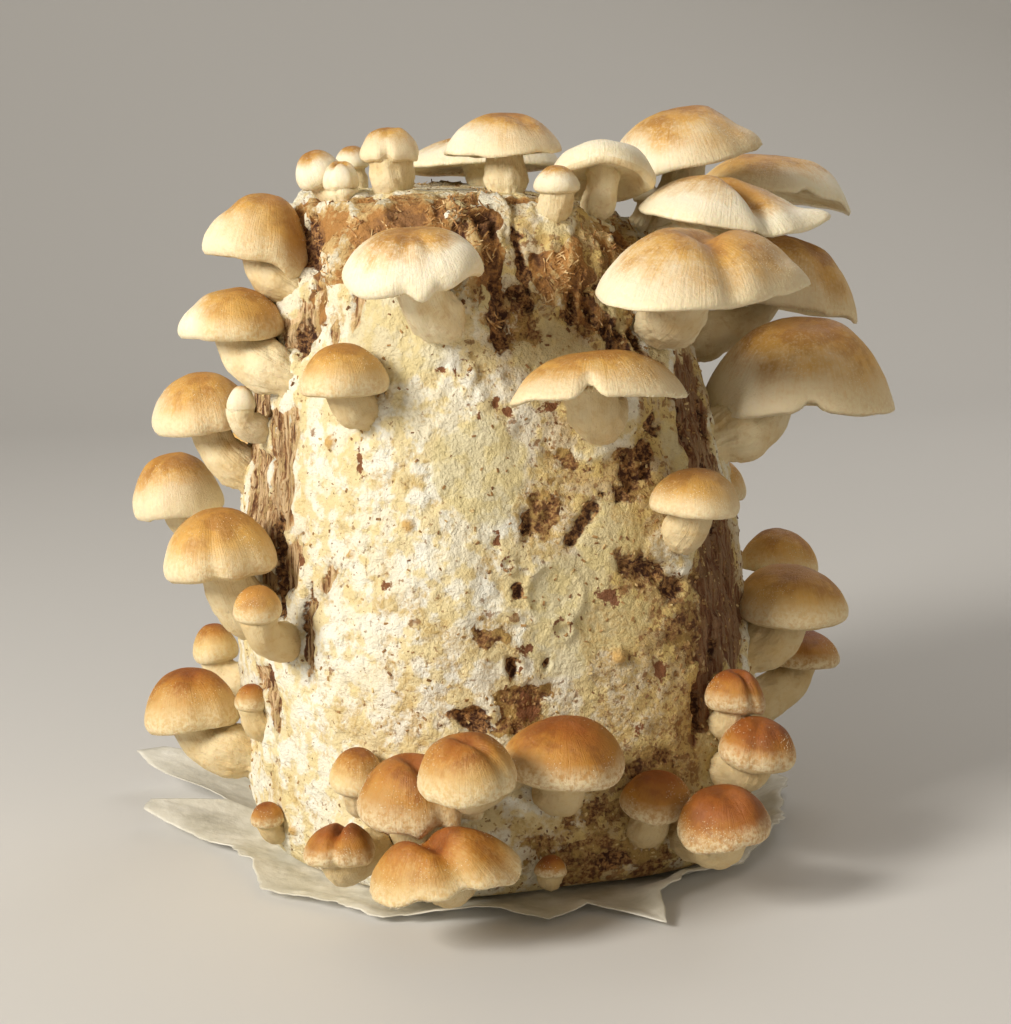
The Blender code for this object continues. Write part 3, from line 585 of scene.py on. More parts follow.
# Folds in a cap: the bearing a fold runs to, where it starts, from -1 at the far edge to 1, its width in
# shares of the radius, how far it lifts the middle and the edge, and how far it pulls the edge in, in mm.
capFolds = {
    "shelf_top_back": [(22, 0.35, 0.14, -0.6, 2.4, 2.2), (85, 0.3, 0.35, 0.8, -2), (-20, -0.2, 0.3, -1.2)],
    "shelf_top": [(28, -0.35, 0.15, -5, -1.2, 2), (72, 0, 0.5, -2.5, 0.5), (78, 0.5, 0.22, 0, 2.6, -4),
                  (-35, 0, 0.5, 0.8)],
    "shelf_front": [(21, -0.2, 0.13, -2.7, -0.6, 1.6), (150, -0.3, 0.16, -2.9, 0, 1), (15, -0.6, 0.25, -1.2),
                    (80, 0.5, 0.3, 0, 1.6, -0.8), (-60, 0, 0.5, 0.8, 0.4), (50, 0.3, 0.12, -0.6, 0.5, 0.6)],
    "shelf_back": [(40, -0.1, 0.22, -1.6, -1, 1), (80, 0.4, 0.3, 0, -1.5, -1)],
    "shelf_low": [(0, 0.45, 0.1, -1, 3.4, 2.4), (-40, -0.1, 0.25, -1.6, -0.8), (35, 0, 0.22, -1.4),
                  (-75, 0.3, 0.4, 0.6, -3), (70, 0.1, 0.3, 1, 0.4)],
    "front_draped": [(6, 0.3, 0.17, 0.2, -2, -0.6), (20, 0.15, 0.1, -1.1, 1, 0.8),
                     (-9, 0.15, 0.1, -1, 1, 0.8), (58, 0.2, 0.35, 0.2, 2.6), (-50, 0.2, 0.3, 0.6, -1),
                     (180, -0.6, 0.5, -1)],
    "front_left": [(20, -0.2, 0.3, -0.6)],
    "front_broad": [(-4, 0.5, 0.11, 0.2, 3.6, 3.6), (40, 0.2, 0.3, 0.6), (-45, 0.5, 0.2, 0, 0.8),
                    (180, -0.6, 0.6, -0.8)],
    "left_1": [(60, 0.1, 0.4, 0.4, -3.2), (-80, 0.4, 0.35, 0, 0.5, -2.2), (-10, -0.1, 0.2, -0.9)],
    "left_2": [(-30, -0.2, 0.3, -0.9), (-85, 0.4, 0.3, 0, 0, -1.4)],
    "left_3": [(15, 0.2, 0.2, -0.8, 0.6, 0.8), (-50, 0, 0.3, -0.7)],
    "left_4": [(-50, -0.3, 0.2, -2, 0, 0.8), (40, 0.3, 0.3, 0, -0.8)],
    "left_5": [(2, 0.2, 0.13, -0.9, 0.9, 1.1), (45, 0.3, 0.2, -0.6, 0.9, 0.8), (-60, 0.1, 0.3, -0.8)],
    "left_8": [(25, -0.2, 0.2, -1.2, 0.4, 0.8), (180, -0.6, 0.6, -1), (-50, 0.1, 0.25, -0.8)],
    "low_1": [(40, 0, 0.3, -0.6, 0, 0.4)],
    "low_2": [(28, -0.3, 0.14, -2.6, 1, 1), (45, 0.3, 0.12, 0.6, -1.6, -1.4), (62, 0.2, 0.1, -1.6, 1.4, 1.2),
              (80, 0.3, 0.2, 0.4, -2.4, -2.6), (5, 0.5, 0.12, 0, -1.6, -0.6)],
    "low_3": [(50, -0.5, 0.13, -2, 0.5, 1), (180, -0.9, 0.7, -1.6), (-40, 0.1, 0.2, -0.8, 0.4, 0.5)],
    "low_4": [(-12, -1, 0.13, -2.4, 0.6, 1.8), (50, 0, 0.3, 0.8, -0.6, -0.6), (-60, 0, 0.3, 0.2, -0.4, -0.4)],
    "low_5": [(15, -0.9, 0.17, -5, 0.8, 2.2), (70, 0, 0.4, 1.2, -3), (-50, 0, 0.5, 1, -1.5),
              (-20, 0.2, 0.12, -1, 0.6, 0.6)],
    "low_6": [(-30, 0, 0.25, -0.8, 0, 0.4), (50, 0.1, 0.3, -0.4, -0.6)],
    "low_7": [(60, 0.3, 0.3, 0, 0.8, -0.6), (0, 0, 0.2, -0.5)],
    "low_8": [(20, -0.4, 0.2, -1, 0.3, 0.5), (-50, 0.2, 0.4, 0, -1.6), (60, 0, 0.3, 0.8)],
    "right_1": [(30, -0.4, 0.13, -1.7, 0.4, 1.2), (62, 0, 0.3, 0.3, -0.8, -0.6)],
    "right_2": [(-10, -0.2, 0.15, -0.9, 0, 0.5), (-45, 0.3, 0.14, -0.4, 0.5, 0.5),
                (35, 0.3, 0.14, -0.4, 0.5, 0.5)],
    "right_4": [(-20, -0.3, 0.3, -0.8)],
    "back_1": [(125, -0.5, 0.2, -3, 0, 1.5), (175, 0.3, 0.2, 0, 2, 1)],
    "back_2": [(-175, 0, 0.2, -1.5, 2, 2)],
    "back_4": [(-118, -0.5, 0.2, -2, 0, 0.6)],
    "back_7": [(162, -0.7, 0.2, -2, 0, 0.6)],
    "back_10": [(-140, -0.6, 0.2, -3, 0, 1)],
    "top_1": [(-10, 0, 0.3, -0.8, 0, 0.6)],
    "top_pin": [(-40, -0.4, 0.2, -1.2, 0.4, 0.6), (50, -0.3, 0.2, -1, 0.4, 0.6)],
    "top_3": [(-5, 0.2, 0.16, -0.6, 1.8, 1.4), (60, 0.3, 0.25, 0.8, -1, -1), (-60, 0.2, 0.2, 0, -0.6)],
    "top_wide": [(-60, -0.4, 0.25, -1.6)],
    "top_4": [(35, -0.2, 0.2, -1.2, 0.5, 0.8), (-30, 0, 0.2, -0.8, 0.4, 0.5)],
    "top_5": [(80, 0.4, 0.45, -1.2, 1.6, -1.4), (-10, -0.3, 0.4, -1), (45, 0.2, 0.12, -0.5, 0.5, 0.5)],
    "top_curled": [(-5, 0.2, 0.5, 0.4, 1), (78, 0.3, 0.4, 0, -1.6, -0.6)],
}
capForms = {
    # share of the radius, share of the height, from the tip to the edge and in under it
    "button": {"path": [(0, 1), (0.35, 0.955), (0.66, 0.79), (0.9, 0.52), (1.0, 0.27), (0.97, 0.1),
                        (0.87, 0.0), (0.74, -0.02), (0.6, 0.04)],
               "lobes": 0.03, "wave": 0.03, "ragged": 0.3, "neck": 0.06, "shift": 0.0},
    "domed": {"path": [(0, 1), (0.3, 0.96), (0.58, 0.83), (0.82, 0.59), (0.96, 0.33), (1.0, 0.17),
                       (0.98, 0.05), (0.91, -0.02), (0.84, 0.01), (0.8, 0.1), (0.62, 0.2), (0.42, 0.22)],
              "lobes": 0.035, "wave": 0.04, "ragged": 0.7, "neck": 0.12, "shift": 0.1},
    "open": {"path": [(0, 1), (0.26, 0.96), (0.5, 0.83), (0.72, 0.6), (0.87, 0.35), (0.96, 0.14), (1.0, 0.0),
                      (0.99, -0.05), (0.96, -0.05), (0.93, 0.02), (0.84, 0.16), (0.65, 0.36), (0.35, 0.44)],
             "lobes": 0.04, "wave": 0.05, "ragged": 0.9, "neck": 0.2, "shift": 0.3},
    "curled": {"path": [(0, 1), (0.3, 0.98), (0.58, 0.9), (0.82, 0.7), (0.96, 0.38), (1.0, 0.1),
                        (0.96, -0.12), (0.88, -0.2), (0.8, -0.12), (0.74, 0.06), (0.6, 0.22), (0.4, 0.28),
                        (0.3, 0.28)],
               "lobes": 0.02, "wave": 0.03, "ragged": 0.3, "neck": 0.2, "shift": 0.0},
}
# how much thicker a stem is at its foot, how far it runs into the log in mm, and its flares
stems = {"swell": 1.15, "root": 4, "neckFlare": 0.1, "footFlare": 0.1, "lumps": 0.1, "fineLumps": 0.05}
# how finely a mushroom is made: a number, and how many more for each mm of its size
capDetail = {"around": (18, 0.5), "rows": (22, 0.28), "stemRows": (14, 0.5)}
ripples = {"large": 0.3, "small": 0.15, "largeOver": 15}  # mm

logTree = BVHTree.FromObject(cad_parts["log"], bpy.context.evaluated_depsgraph_get())


def findFoot(name, row):
    # the point on the log that the stem grows from, and the way the log faces there
    way, place = outwards(row.footBearing), row.footPlace * mm
    if name.startswith("top"):
        start, towards = way * place + Vector((0, 0, 0.4)), Vector((0, 0, -1))
    else:
        start, towards = way * 0.2 + Vector((0, 0, place)), -way
    foot, facing, *_ = logTree.ray_cast(start, towards)
    return foot, facing


feet = {name: findFoot(name, row) for name, row in mushrooms.items()}

# white felt gathers where the stems grow
felt = np.zeros(len(flat))
for name, (foot, facing) in feet.items():
    row = mushrooms[name]
    reach = (row.stem * 0.5 * stems["swell"] + 1.5) * mm
    gap = np.linalg.norm(flat - np.array(foot), axis=1)
    strength = 0.6 if row.level < brownBelow else 1.0
    felt = np.maximum(felt, strength * smoothStep((1.3 - gap / reach + 0.4 * bumps(flat, 4 * mm, 15)) / 0.45))
relief = relief * (1 - 0.5 * felt) + felt * (0.8 + 0.5 * bumps(flat, 2.5 * mm, 19))
for kind in ("bark", "dark", "crumb", "rust", "amber", "crust", "hollowShade", "ageAndShade"):
    masks[kind] *= 1 - 0.85 * felt

low = ramp(heights, 2, 8)
logMeshPoints = flat + normals.reshape(-1, 3) * (relief * low * (0.35 + 0.65 * onSide))[:, None] * mm
logMeshPoints = np.vstack([logMeshPoints, plain[0].mean(axis=0), logMeshPoints[-around:].mean(axis=0)])
logFaces = [ringFaces(rows, around), fanFaces(around, 0, rows * around, flip=True),
            fanFaces(around, (rows - 1) * around, rows * around + 1)]
masks["scatter"] = 0.8 * masks["crumb"] + 0.2 * masks["bark"] + 0.25 * masks["ageAndShade"] + 0.05
masks["scatter"] = np.clip(masks["scatter"], 0, 1) * low
frontShreds = 0.3 + 0.7 * ramp(bearings, -40, 35)
masks["shreds"] = masks["crust"] * smoothStep(0.25 + bumps(flat, 7 * mm, 27)) * frontShreds
masks = {kind: np.append(values, [0, 0]) for kind, values in masks.items()}  # the fans' middles have none

myceliumTones = {
    "cream": (0.87, 0.80, 0.60), "white": (0.92, 0.90, 0.79), "yellow": (0.76, 0.57, 0.17),
    "barkLight": (0.86, 0.63, 0.36), "barkMid": (0.50, 0.26, 0.095), "barkDark": (0.13, 0.045, 0.015),
    # the near-black hollow tone is painted shade, for the pits of the dark patches and the crust's valleys
    "barkRed": (0.19, 0.062, 0.018), "hollowShade": (0.07, 0.022, 0.008), "crumbLight": (0.50, 0.32, 0.12),
    "crumbMid": (0.27, 0.125, 0.04), "crumbDark": (0.11, 0.042, 0.014), "rust": (0.24, 0.095, 0.036),
    "bud": (0.66, 0.42, 0.15), "skin": (0.74, 0.64, 0.33), "old": (0.48, 0.315, 0.10),
    "tan": (0.58, 0.40, 0.15), "amber": (0.46, 0.22, 0.058), "straw": (0.68, 0.48, 0.21)}


def myceliumMaterial():
    coat = Finish("myceliumFelt", {"Roughness": 0.85}, myceliumTones)
    fine, middle, broad = coat.noise(700, 5.0, 0.65), coat.noise(260, 4.0, 0.6), coat.noise(70)
    ageAndShade = coat.read("ageAndShade")
    # the felt tans where it is old, and the same tan is painted shade on its right side
    coat.colour = coat.layers("white", ((broad, 0.38, 0.64), "cream"),
                              ((middle, 0.5, 0.7, 0.0, 0.5), "cream"), ((ageAndShade, 0.2, 0.7, 0.0, 0.8), "old"))
    coat.cover(coat.times(coat.specks(150.0, 0.2, 0.06), 0.6), "yellow")
    skin = coat.raggedEdge("skin", middle, 0.4, 0.2)
    coat.cover(coat.times(skin, 0.6), "skin")
    grains = coat.spread(fine, 0.4, 0.62, 0.1, 0.8)
    coat.cover(coat.times(coat.raggedEdge("stain", middle, 1.5, 0.25), grains), "tan")
    # painted shade: tan in the hollows between the felt's lumps and in its pocks, more of it on old felt and
    # on the shaded right side
    hollowShade = coat.maths("SUBTRACT", coat.times(coat.read("hollowShade"), 0.7), 0.72)
    hollowShade = coat.timesPlus(ageAndShade, 0.35, coat.timesPlus(fine, 1.6, hollowShade))
    coat.cover((hollowShade, 0.5, 0.85, 0.0, 0.75), "tan")
    # brown dots and larger spots, more of them where the felt is old and on its painted-shade side, and few
    # on the smooth skin
    clear = coat.timesPlus(skin, -0.8, 1.0)
    for scale, perAge, least, softness, strength in ((620.0, 0.15, 0.05, 0.03, 0.7),
                                                     (210.0, 0.1, 0.025, 0.025, 0.8)):
        dots = coat.specks(scale, coat.timesPlus(ageAndShade, perAge, least), softness)
        coat.cover(coat.times(coat.times(dots, clear), strength), "crumbMid")
    crumbs = coat.layers("crumbDark", ((fine, 0.40, 0.52), "crumbMid"), ((fine, 0.5, 0.62), "crumbLight"),
                         ((middle, 0.5, 0.6, 0.0, 0.8), "old"))
    coat.cover(coat.raggedEdge("crumb", middle, 1.6, 0.1), crumbs)
    streaks = coat.fibres(700.0, 55.0)
    # the bark turns dark red where the felt is old, and on the right side as painted shade
    bark = coat.layers("barkDark", ((streaks, 0.2, 0.5), "barkMid"), ((streaks, 0.4, 0.66), "barkLight"),
                       ((middle, 0.52, 0.62, 0.0, 0.75), "straw"), ((ageAndShade, 0.25, 0.6, 0.0, 0.72), "barkRed"))
    coat.cover(coat.raggedEdge("bark", middle, 1.0), bark)
    # the crust's colour follows its creases: dark in the valleys as painted shade, through its own amber and
    # straw, to cream on the highest crests as painted light
    height = coat.shaken(coat.read("crumple"), fine, 0.9)
    shell = coat.layers("crumbDark", ((height, 0.08, 0.2), "crumbMid"), ((height, 0.2, 0.36), "amber"),
                        ((height, 0.38, 0.57), "straw"), ((height, 0.64, 0.8), "cream"),
                        (coat.times(streaks, 0.25), "crumbDark"))
    coat.cover(coat.raggedEdge("crust", middle, 0.9), shell)
    # the amber film's colour follows the same creases: darker in the valleys as painted shade, straw on the
    # crests as painted light
    film = coat.layers("crumbMid", ((height, 0.15, 0.42), "amber"), ((height, 0.62, 0.82), "straw"))
    coat.cover(coat.raggedEdge("amber", middle, 0.6), film)
    coat.cover(coat.raggedEdge("rust", fine, 1.5), "rust")
    # dark patches: brown bark colour mottled with near-black painted shade in their pits
    coat.cover(coat.raggedEdge("dark", middle, 0.9), coat.blend((fine, 0.45, 0.62), "hollowShade", "barkMid"))
    coat.cover(coat.read("bud"), "bud")
    coat.wire(coat.colour)
    shine = coat.maths("MAXIMUM", coat.read("amber"), coat.read("skin"))
    coat.wire(coat.spread(shine, 0.2, 0.8, 0.9, 0.55), "Roughness")
    lumps = coat.timesPlus(coat.times(streaks, coat.read("bark")), 1.5, fine)
    coat.bump(coat.timesPlus(middle, 1.5, lumps), 1.2 * mm)
    return coat.material


log = makeObject("myceliumBlock", logMeshPoints, logFaces, [myceliumMaterial()], attributes=masks)
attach(log, "root")
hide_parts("log")
print("log: done,", len(log.data.polygons), "faces")


def scatterTree(name, shape, material, tilt, where="scatter", curl=0.0):
    # pieces of one shape, strewn over a surface as thickly as one of its attributes says
    tree, given, out = newGroup(name, "GeometryNodeTree", [
        ("Geometry", "Geometry", None), ("Per square metre", "Float", 1000.0), ("Smallest", "Float", 0.5),
        ("Largest", "Float", 1.0), ("Seed", "Int", 1)], "Geometry", "Geometry")
    share = addNode(tree, "GeometryNodeInputNamedAttribute", {"Name": where}, data_type="FLOAT")
    density = addNode(tree, "ShaderNodeMath", {
        0: liveOutput(share, "Attribute"), 1: given.outputs["Per square metre"]}, operation="MULTIPLY")
    points = addNode(tree, "GeometryNodeDistributePointsOnFaces", {
        "Mesh": given.outputs["Geometry"], "Density": density.outputs[0], "Seed": given.outputs["Seed"]})
    lean = addNode(tree, "FunctionNodeRandomValue", {0: (-tilt, -tilt, -3.2), 1: (tilt, tilt, 3.2)},
                   data_type="FLOAT_VECTOR")
    turned = addNode(tree, "FunctionNodeRotateRotation", {
        "Rotation": points.outputs["Rotation"], "Rotate By": liveOutput(lean, "Value")},
        rotation_space="LOCAL")
    size = addNode(tree, "FunctionNodeRandomValue", {
        2: given.outputs["Smallest"], 3: given.outputs["Largest"],
        "ID": addNode(tree, "GeometryNodeInputIndex").outputs[0]}, data_type="FLOAT")
    piece = addNode(tree, *shape)
    # curl lifts a piece's ends by the square of their distance from its middle
    place = addNode(tree, "ShaderNodeSeparateXYZ", {0: addNode(tree, "GeometryNodeInputPosition").outputs[0]})
    square = addNode(tree, "ShaderNodeMath", {0: place.outputs[0], 1: place.outputs[0]}, operation="MULTIPLY")
    lift = addNode(tree, "ShaderNodeMath", {0: square.outputs[0], 1: curl / mm}, operation="MULTIPLY")
    offset = addNode(tree, "ShaderNodeCombineXYZ", {2: lift.outputs[0]})
    curled = addNode(tree, "GeometryNodeSetPosition", {
        "Geometry": piece.outputs["Mesh"], "Offset": offset.outputs[0]})
    placed = addNode(tree, "GeometryNodeInstanceOnPoints", {
        "Points": points.outputs["Points"], "Instance": curled.outputs[0], "Rotation": turned.outputs[0],
        "Scale": liveOutput(size, "Value")})
    return endTree(tree, out, placed.outputs[0], material)


def scatterPieces(name, mesh, tree, settings):
    obj = intoScene(name, runNodes(name, mesh, tree, settings))
    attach(obj, "root")
    print(name, len(obj.data.polygons), "faces")
    return obj


def scrapMaterial(name, roughness, scale, middleBand, paleBand, tones, grain=0.0):
    # scraps from dark to pale, with a grain along them where it is asked for
    coat = Finish(name, {"Roughness": roughness}, tones)
    tone = coat.noise(scale, 2.0)
    coat.colour = coat.layers("dark", ((tone, *middleBand), "middle"), ((tone, *paleBand), "pale"))
    if grain > 0:
        coat.cover(coat.times(coat.fibres(900.0, 200.0), grain), "grain")
    coat.wire(coat.colour)
    return coat.material


chips = {"Per square metre": 260000.0, "Smallest": 0.4, "Largest": 1.4, "Seed": 4}
chipTones = {"dark": (0.15, 0.065, 0.022), "middle": (0.40, 0.23, 0.08), "pale": (0.72, 0.57, 0.28),
             "grain": (0.25, 0.13, 0.05)}
chipShape = ("GeometryNodeMeshCube", {"Size": (1.0 * mm, 0.45 * mm, 0.3 * mm)})
chipMaterial = scrapMaterial("sawdustChips", 0.8, 260, (0.38, 0.52), (0.54, 0.66), chipTones, 0.3)
chipTree = scatterTree("chipScatter", chipShape, chipMaterial, 0.5)
sawdust = scatterPieces("sawdustChips", log.data, chipTree, chips)

# torn fibres on the crust
torn = {"Per square metre": 800000.0, "Smallest": 0.2, "Largest": 1.1, "Seed": 6}
tornTones = {"dark": (0.17, 0.068, 0.02), "middle": (0.50, 0.26, 0.085), "pale": (0.72, 0.53, 0.27)}
tornShape = ("GeometryNodeMeshCube", {"Size": (3.9 * mm, 0.38 * mm, 0.16 * mm), "Vertices X": 5})
tornMaterial = scrapMaterial("tornFibres", 0.75, 330, (0.36, 0.5), (0.5, 0.62), tornTones)
tornTree = scatterTree("fibreScatter", tornShape, tornMaterial, 0.35, "shreds", 0.11)
tornPiece = scatterPieces("tornFibres", log.data, tornTree, torn)

skinTones = {
    "pale": {"centre": (0.54, 0.25, 0.045), "ring": (0.72, 0.42, 0.105), "edge": (0.92, 0.84, 0.65),
             "tanEdge": (0.70, 0.48, 0.21), "dark": (0.32, 0.12, 0.025), "frost": (0.87, 0.76, 0.50)},
    "brown": {"centre": (0.34, 0.10, 0.011), "ring": (0.53, 0.24, 0.032), "edge": (0.77, 0.56, 0.24),
              "tanEdge": (0.44, 0.215, 0.042), "dark": (0.20, 0.052, 0.008), "frost": (0.87, 0.76, 0.50)},
}
fleshTones = {"cream": (0.89, 0.79, 0.54), "buff": (0.75, 0.58, 0.31), "brown": (0.60, 0.42, 0.17),
              "streak": (0.62, 0.42, 0.17), "speck": (0.58, 0.36, 0.13)}


def mushroomFinish(name, roughness, weight, radius, tones):
    return Finish(name, {"Roughness": roughness, "Subsurface Weight": weight, "Subsurface Radius": radius,
                         "Subsurface Scale": 2.0 * mm}, tones)


def capSkinMaterial(name, tones, tanFrom):
    coat = mushroomFinish(name, 0.55, 0.1, (1.0, 0.5, 0.2), tones)
    share, tone = coat.read("capShare"), coat.read("capTone")
    fine, cloud = coat.noise(800, 4.0, 0.65), coat.noise(75, 4.0, 0.6)
    radial = coat.fibres(16.0, 0.12, coat.read("grain", "Vector"))
    place = share
    for noise, amount in ((cloud, 0.9), (radial, 0.12), (fine, 0.16)):
        place = coat.shaken(place, noise, amount)
    inner = coat.maths("SUBTRACT", place, coat.timesPlus(tone, 0.6, 0.36))
    edge = coat.blend((tone, tanFrom, tanFrom + 0.3), "edge", "tanEdge")
    coat.colour = coat.layers("centre", ((inner, -0.6, -0.12), "ring"), ((inner, -0.2, 0.2), edge))
    coat.cover(coat.times(coat.specks(120.0, 0.2, 0.08), coat.spread(inner, 0.1, -0.3, 0.0, 0.5)), "dark")
    # paler fibres and grains towards the edge
    coat.cover(coat.times(radial, coat.spread(share, 0.4, 1.0, 0.0, 0.2)), edge)
    coat.cover(coat.times(coat.specks(1000.0, 0.16, 0.05), coat.spread(inner, -0.5, 0.1, 0.05, 0.45)), edge)
    # a frost of veil along the rim
    frost = coat.times(coat.spread(share, 0.72, 1.0, 0.0, 0.8), coat.spread(fine, 0.38, 0.58, 0.25, 1.0))
    coat.cover(frost, "frost")
    coat.wire(coat.colour)
    coat.wire(coat.spread(fine, 0.3, 0.7, 0.42, 0.66), "Roughness")
    coat.bump(coat.timesPlus(radial, 0.3, fine), 0.4 * mm, 0.8)
    return coat.material


def fleshMaterial():
    coat = mushroomFinish("stemAndGillFlesh", 0.75, 0.12, (1.0, 0.6, 0.3), fleshTones)
    streaks = coat.fibres(9.0, 0.1, coat.read("grain", "Vector"))
    fine = coat.noise(650, 4.0, 0.65)
    coat.colour = coat.layers("cream", ((coat.noise(120), 0.42, 0.72), "buff"),
                              ((coat.read("capTone"), 0.25, 0.7, 0.0, 0.6), "brown"),
                              (coat.times(streaks, 0.09), "streak"),
                              (coat.times(coat.specks(420.0, 0.12, 0.06), 0.3), "speck"))
    coat.wire(coat.colour)
    lumps = coat.maths("ADD", fine, coat.noise(220))
    coat.bump(coat.timesPlus(streaks, 0.25, lumps), 0.7 * mm, 0.8)
    return coat.material


paleSkin = capSkinMaterial("paleCapSkin", skinTones["pale"], 0.35)
brownSkin = capSkinMaterial("brownCapSkin", skinTones["brown"], 0.48)
flesh = fleshMaterial()

gills = {"open": {"Gills": 92, "Thickness": 0.012, "Steps": 8},
         "domed": {"Gills": 56, "Thickness": 0.016, "Steps": 6}}


def gillTree():
    # thin upright plates round a ring, with their length and height both 1
    tree, given, out = newGroup("gillRing", "GeometryNodeTree", [
        ("Geometry", "Geometry", None), ("Gills", "Int", 60), ("Thickness", "Float", 0.01),
        ("Steps", "Int", 7)], "Geometry", "Geometry")
    ring = addNode(tree, "GeometryNodeMeshLine", {"Count": given.outputs["Gills"], "Offset": (0, 0, 0)},
                   mode="OFFSET")
    size = addNode(tree, "ShaderNodeCombineXYZ", {0: 0.9, 1: given.outputs["Thickness"], 2: 1.0})
    plate = addNode(tree, "GeometryNodeMeshCube", {
        "Size": size.outputs[0], "Vertices X": given.outputs["Steps"]})
    moved = addNode(tree, "GeometryNodeTransform", {
        "Geometry": plate.outputs["Mesh"], "Translation": (0.55, 0, 0.5)})
    index = addNode(tree, "GeometryNodeInputIndex")
    turn = addNode(tree, "ShaderNodeMath", {0: index.outputs[0], 1: given.outputs["Gills"]},
                   operation="DIVIDE")
    angle = addNode(tree, "ShaderNodeMath", {0: turn.outputs[0], 1: 2 * math.pi}, operation="MULTIPLY")
    spin = addNode(tree, "ShaderNodeCombineXYZ", {2: angle.outputs[0]})
    placed = addNode(tree, "GeometryNodeInstanceOnPoints", {
        "Points": ring.outputs["Mesh"], "Instance": moved.outputs[0], "Rotation": spin.outputs[0]})
    return endTree(tree, out, placed.outputs[0], flesh)


gillRings = {}
ringTree = gillTree()
for form, settings in gills.items():
    ringMesh = runNodes("gillRing", bpy.data.meshes.new("gillSeed"), ringTree, settings)
    points = np.empty(len(ringMesh.vertices) * 3)
    ringMesh.vertices.foreach_get("co", points)
    gillRings[form] = (points.reshape(-1, 3), np.array([list(face.vertices) for face in ringMesh.polygons]))
    bpy.data.meshes.remove(ringMesh)


def foldOnce(x, y, turn, start, width, middle, edge=0, notch=0):
    # what one fold, which runs to the cap's edge at turn, lifts and pulls
    along, beside = x * math.cos(turn) + y * math.sin(turn), y * math.cos(turn) - x * math.sin(turn)
    across = bell(beside / width)
    place = np.clip((along - start) / (1 - start), 0, 1)
    atEdge = smoothStep(place * 2 - 1)
    lift = across * (4 * middle * place * (1 - place) + edge * atEdge)
    return lift, np.multiply.outer([-math.cos(turn), -math.sin(turn)], across * notch * atEdge)


def foldCap(name, bearing, x, y):
    # how far a cap's folds lift each of its points, and pull it sideways, in mm
    lift, pull = np.zeros_like(x), np.zeros((2, *x.shape))
    for towards, *fold in capFolds.get(name, []):
        up, sideways = foldOnce(x, y, math.radians(90 + bearing - towards), *fold)
        lift += up
        pull += sideways
    return lift, pull


def bezier(handles, t):
    a, b, c, d = handles
    s = 1 - t
    point = a * s**3 + b * 3 * s * s * t + c * 3 * s * t * t + d * t**3
    return point, ((b - a) * s * s + (c - b) * 2 * s * t + (d - c) * t * t).normalized()


class Cap:
    # one cap's place, size and folds; at() turns shares of its radius and height into points
    def __init__(self, name, row, order):
        self.name, self.row, self.order, self.phase = name, row, order, 2.4 * order
        self.form = capForms[row.form]
        if name.startswith("top"):
            self.form = {**self.form, "shift": 0.0}
        self.out = outwards(row.bearing)
        self.middle = self.out * row.reach * mm + Vector((0, 0, row.level * mm))
        lean, towards = math.radians(row.lean), outwards(leanTowards.get(name, row.bearing))
        self.up = Vector((0, 0, math.cos(lean))) + towards * math.sin(lean)
        self.across = self.up.cross(self.out).normalized()
        self.outer = self.across.cross(self.up)
        self.halfWidth, self.halfDepth = row.width / 2, row.width / 2 / row.oval
        self.stemShare = row.stem / 2 / self.halfWidth

    def inward(self, share):
        # how far the underside moves towards the stem: 0 near the rim, 1 at the stem
        nearRim = 0.92
        return np.clip((nearRim - share) / max(nearRim - self.stemShare, 0.2), 0, 1)

    def at(self, share, turn, rise, inward=0.0):
        share, rise = np.full(turn.shape, share, float), np.full(turn.shape, rise, float)
        lobe = 1 + self.form["lobes"] * share * np.cos(3 * turn + self.phase)
        wave = self.form["wave"] * share**3 * np.cos(2 * turn + 2 * self.phase)
        circle = roundPoints(turn, 1.3, self.phase)
        ragged = bumps(circle, 1.0, 33) + 0.5 * bumps(circle * 3, 1.0, 34)
        rim = np.clip(share, 0, 1) ** 6 * self.form["ragged"] * ragged
        lift, pull = foldCap(self.name, self.row.bearing, share * np.cos(turn), share * np.sin(turn))
        a = (self.halfWidth * share * lobe + rim) * np.cos(turn) + pull[0]
        o = self.halfDepth * (share * lobe * np.sin(turn) - self.form["shift"] * inward) + pull[1]
        u = self.row.height * (rise + wave) + lift + 0.7 * rim
        place = np.stack([a, o, u], axis=-1) * mm
        return np.array(self.middle) + place @ np.array([self.across, self.outer, self.up])


class Shell:
    # rings of points, with what the finishes read at each point
    def __init__(self, around):
        self.turn = np.linspace(0, 2 * math.pi, around, endpoint=False)
        self.rings, self.isSkin = [], []
        self.values = {"capShare": [], "capTone": [], "grain": []}

    def add(self, ring, share, tone, run, isSkin):
        self.rings.append(ring)
        self.isSkin.append(isSkin)
        self.note(share, tone, roundPoints(self.turn, 2, run))

    def note(self, share, tone, grain):
        even = np.zeros(len(grain))
        for key, values in (("capShare", even + share), ("capTone", even + tone), ("grain", grain)):
            self.values[key].append(values)


def howMany(kind, size):
    base, perMm = capDetail[kind]
    return round(base + size * perMm)


def growCap(cap, shell):
    # the skin from the tip to the rim, and on under it to the stem
    row, turn = cap.row, shell.turn
    path = smoothPath(cap.form["path"], howMany("rows", row.width))[1:]
    run, edge = runAlong(path), np.argmax(path[:, 0])
    towards, browner = brownSides.get(cap.name, (0, 0))
    brownTurn = math.radians(90 + row.bearing - towards)
    for i, (r, h) in enumerate(path):
        inward, share = 0.0, run[i] / run[edge]
        if i > edge:
            inward, share, r = cap.inward(r), 1.0 + (i - edge) * 0.02, max(r, cap.stemShare * 1.02)
        tone = row.brown + browner * min(r, 1.0) * np.cos(turn - brownTurn)
        shell.add(cap.at(r, turn, h, inward), share, tone, run[i] * 10, i <= edge + 2)


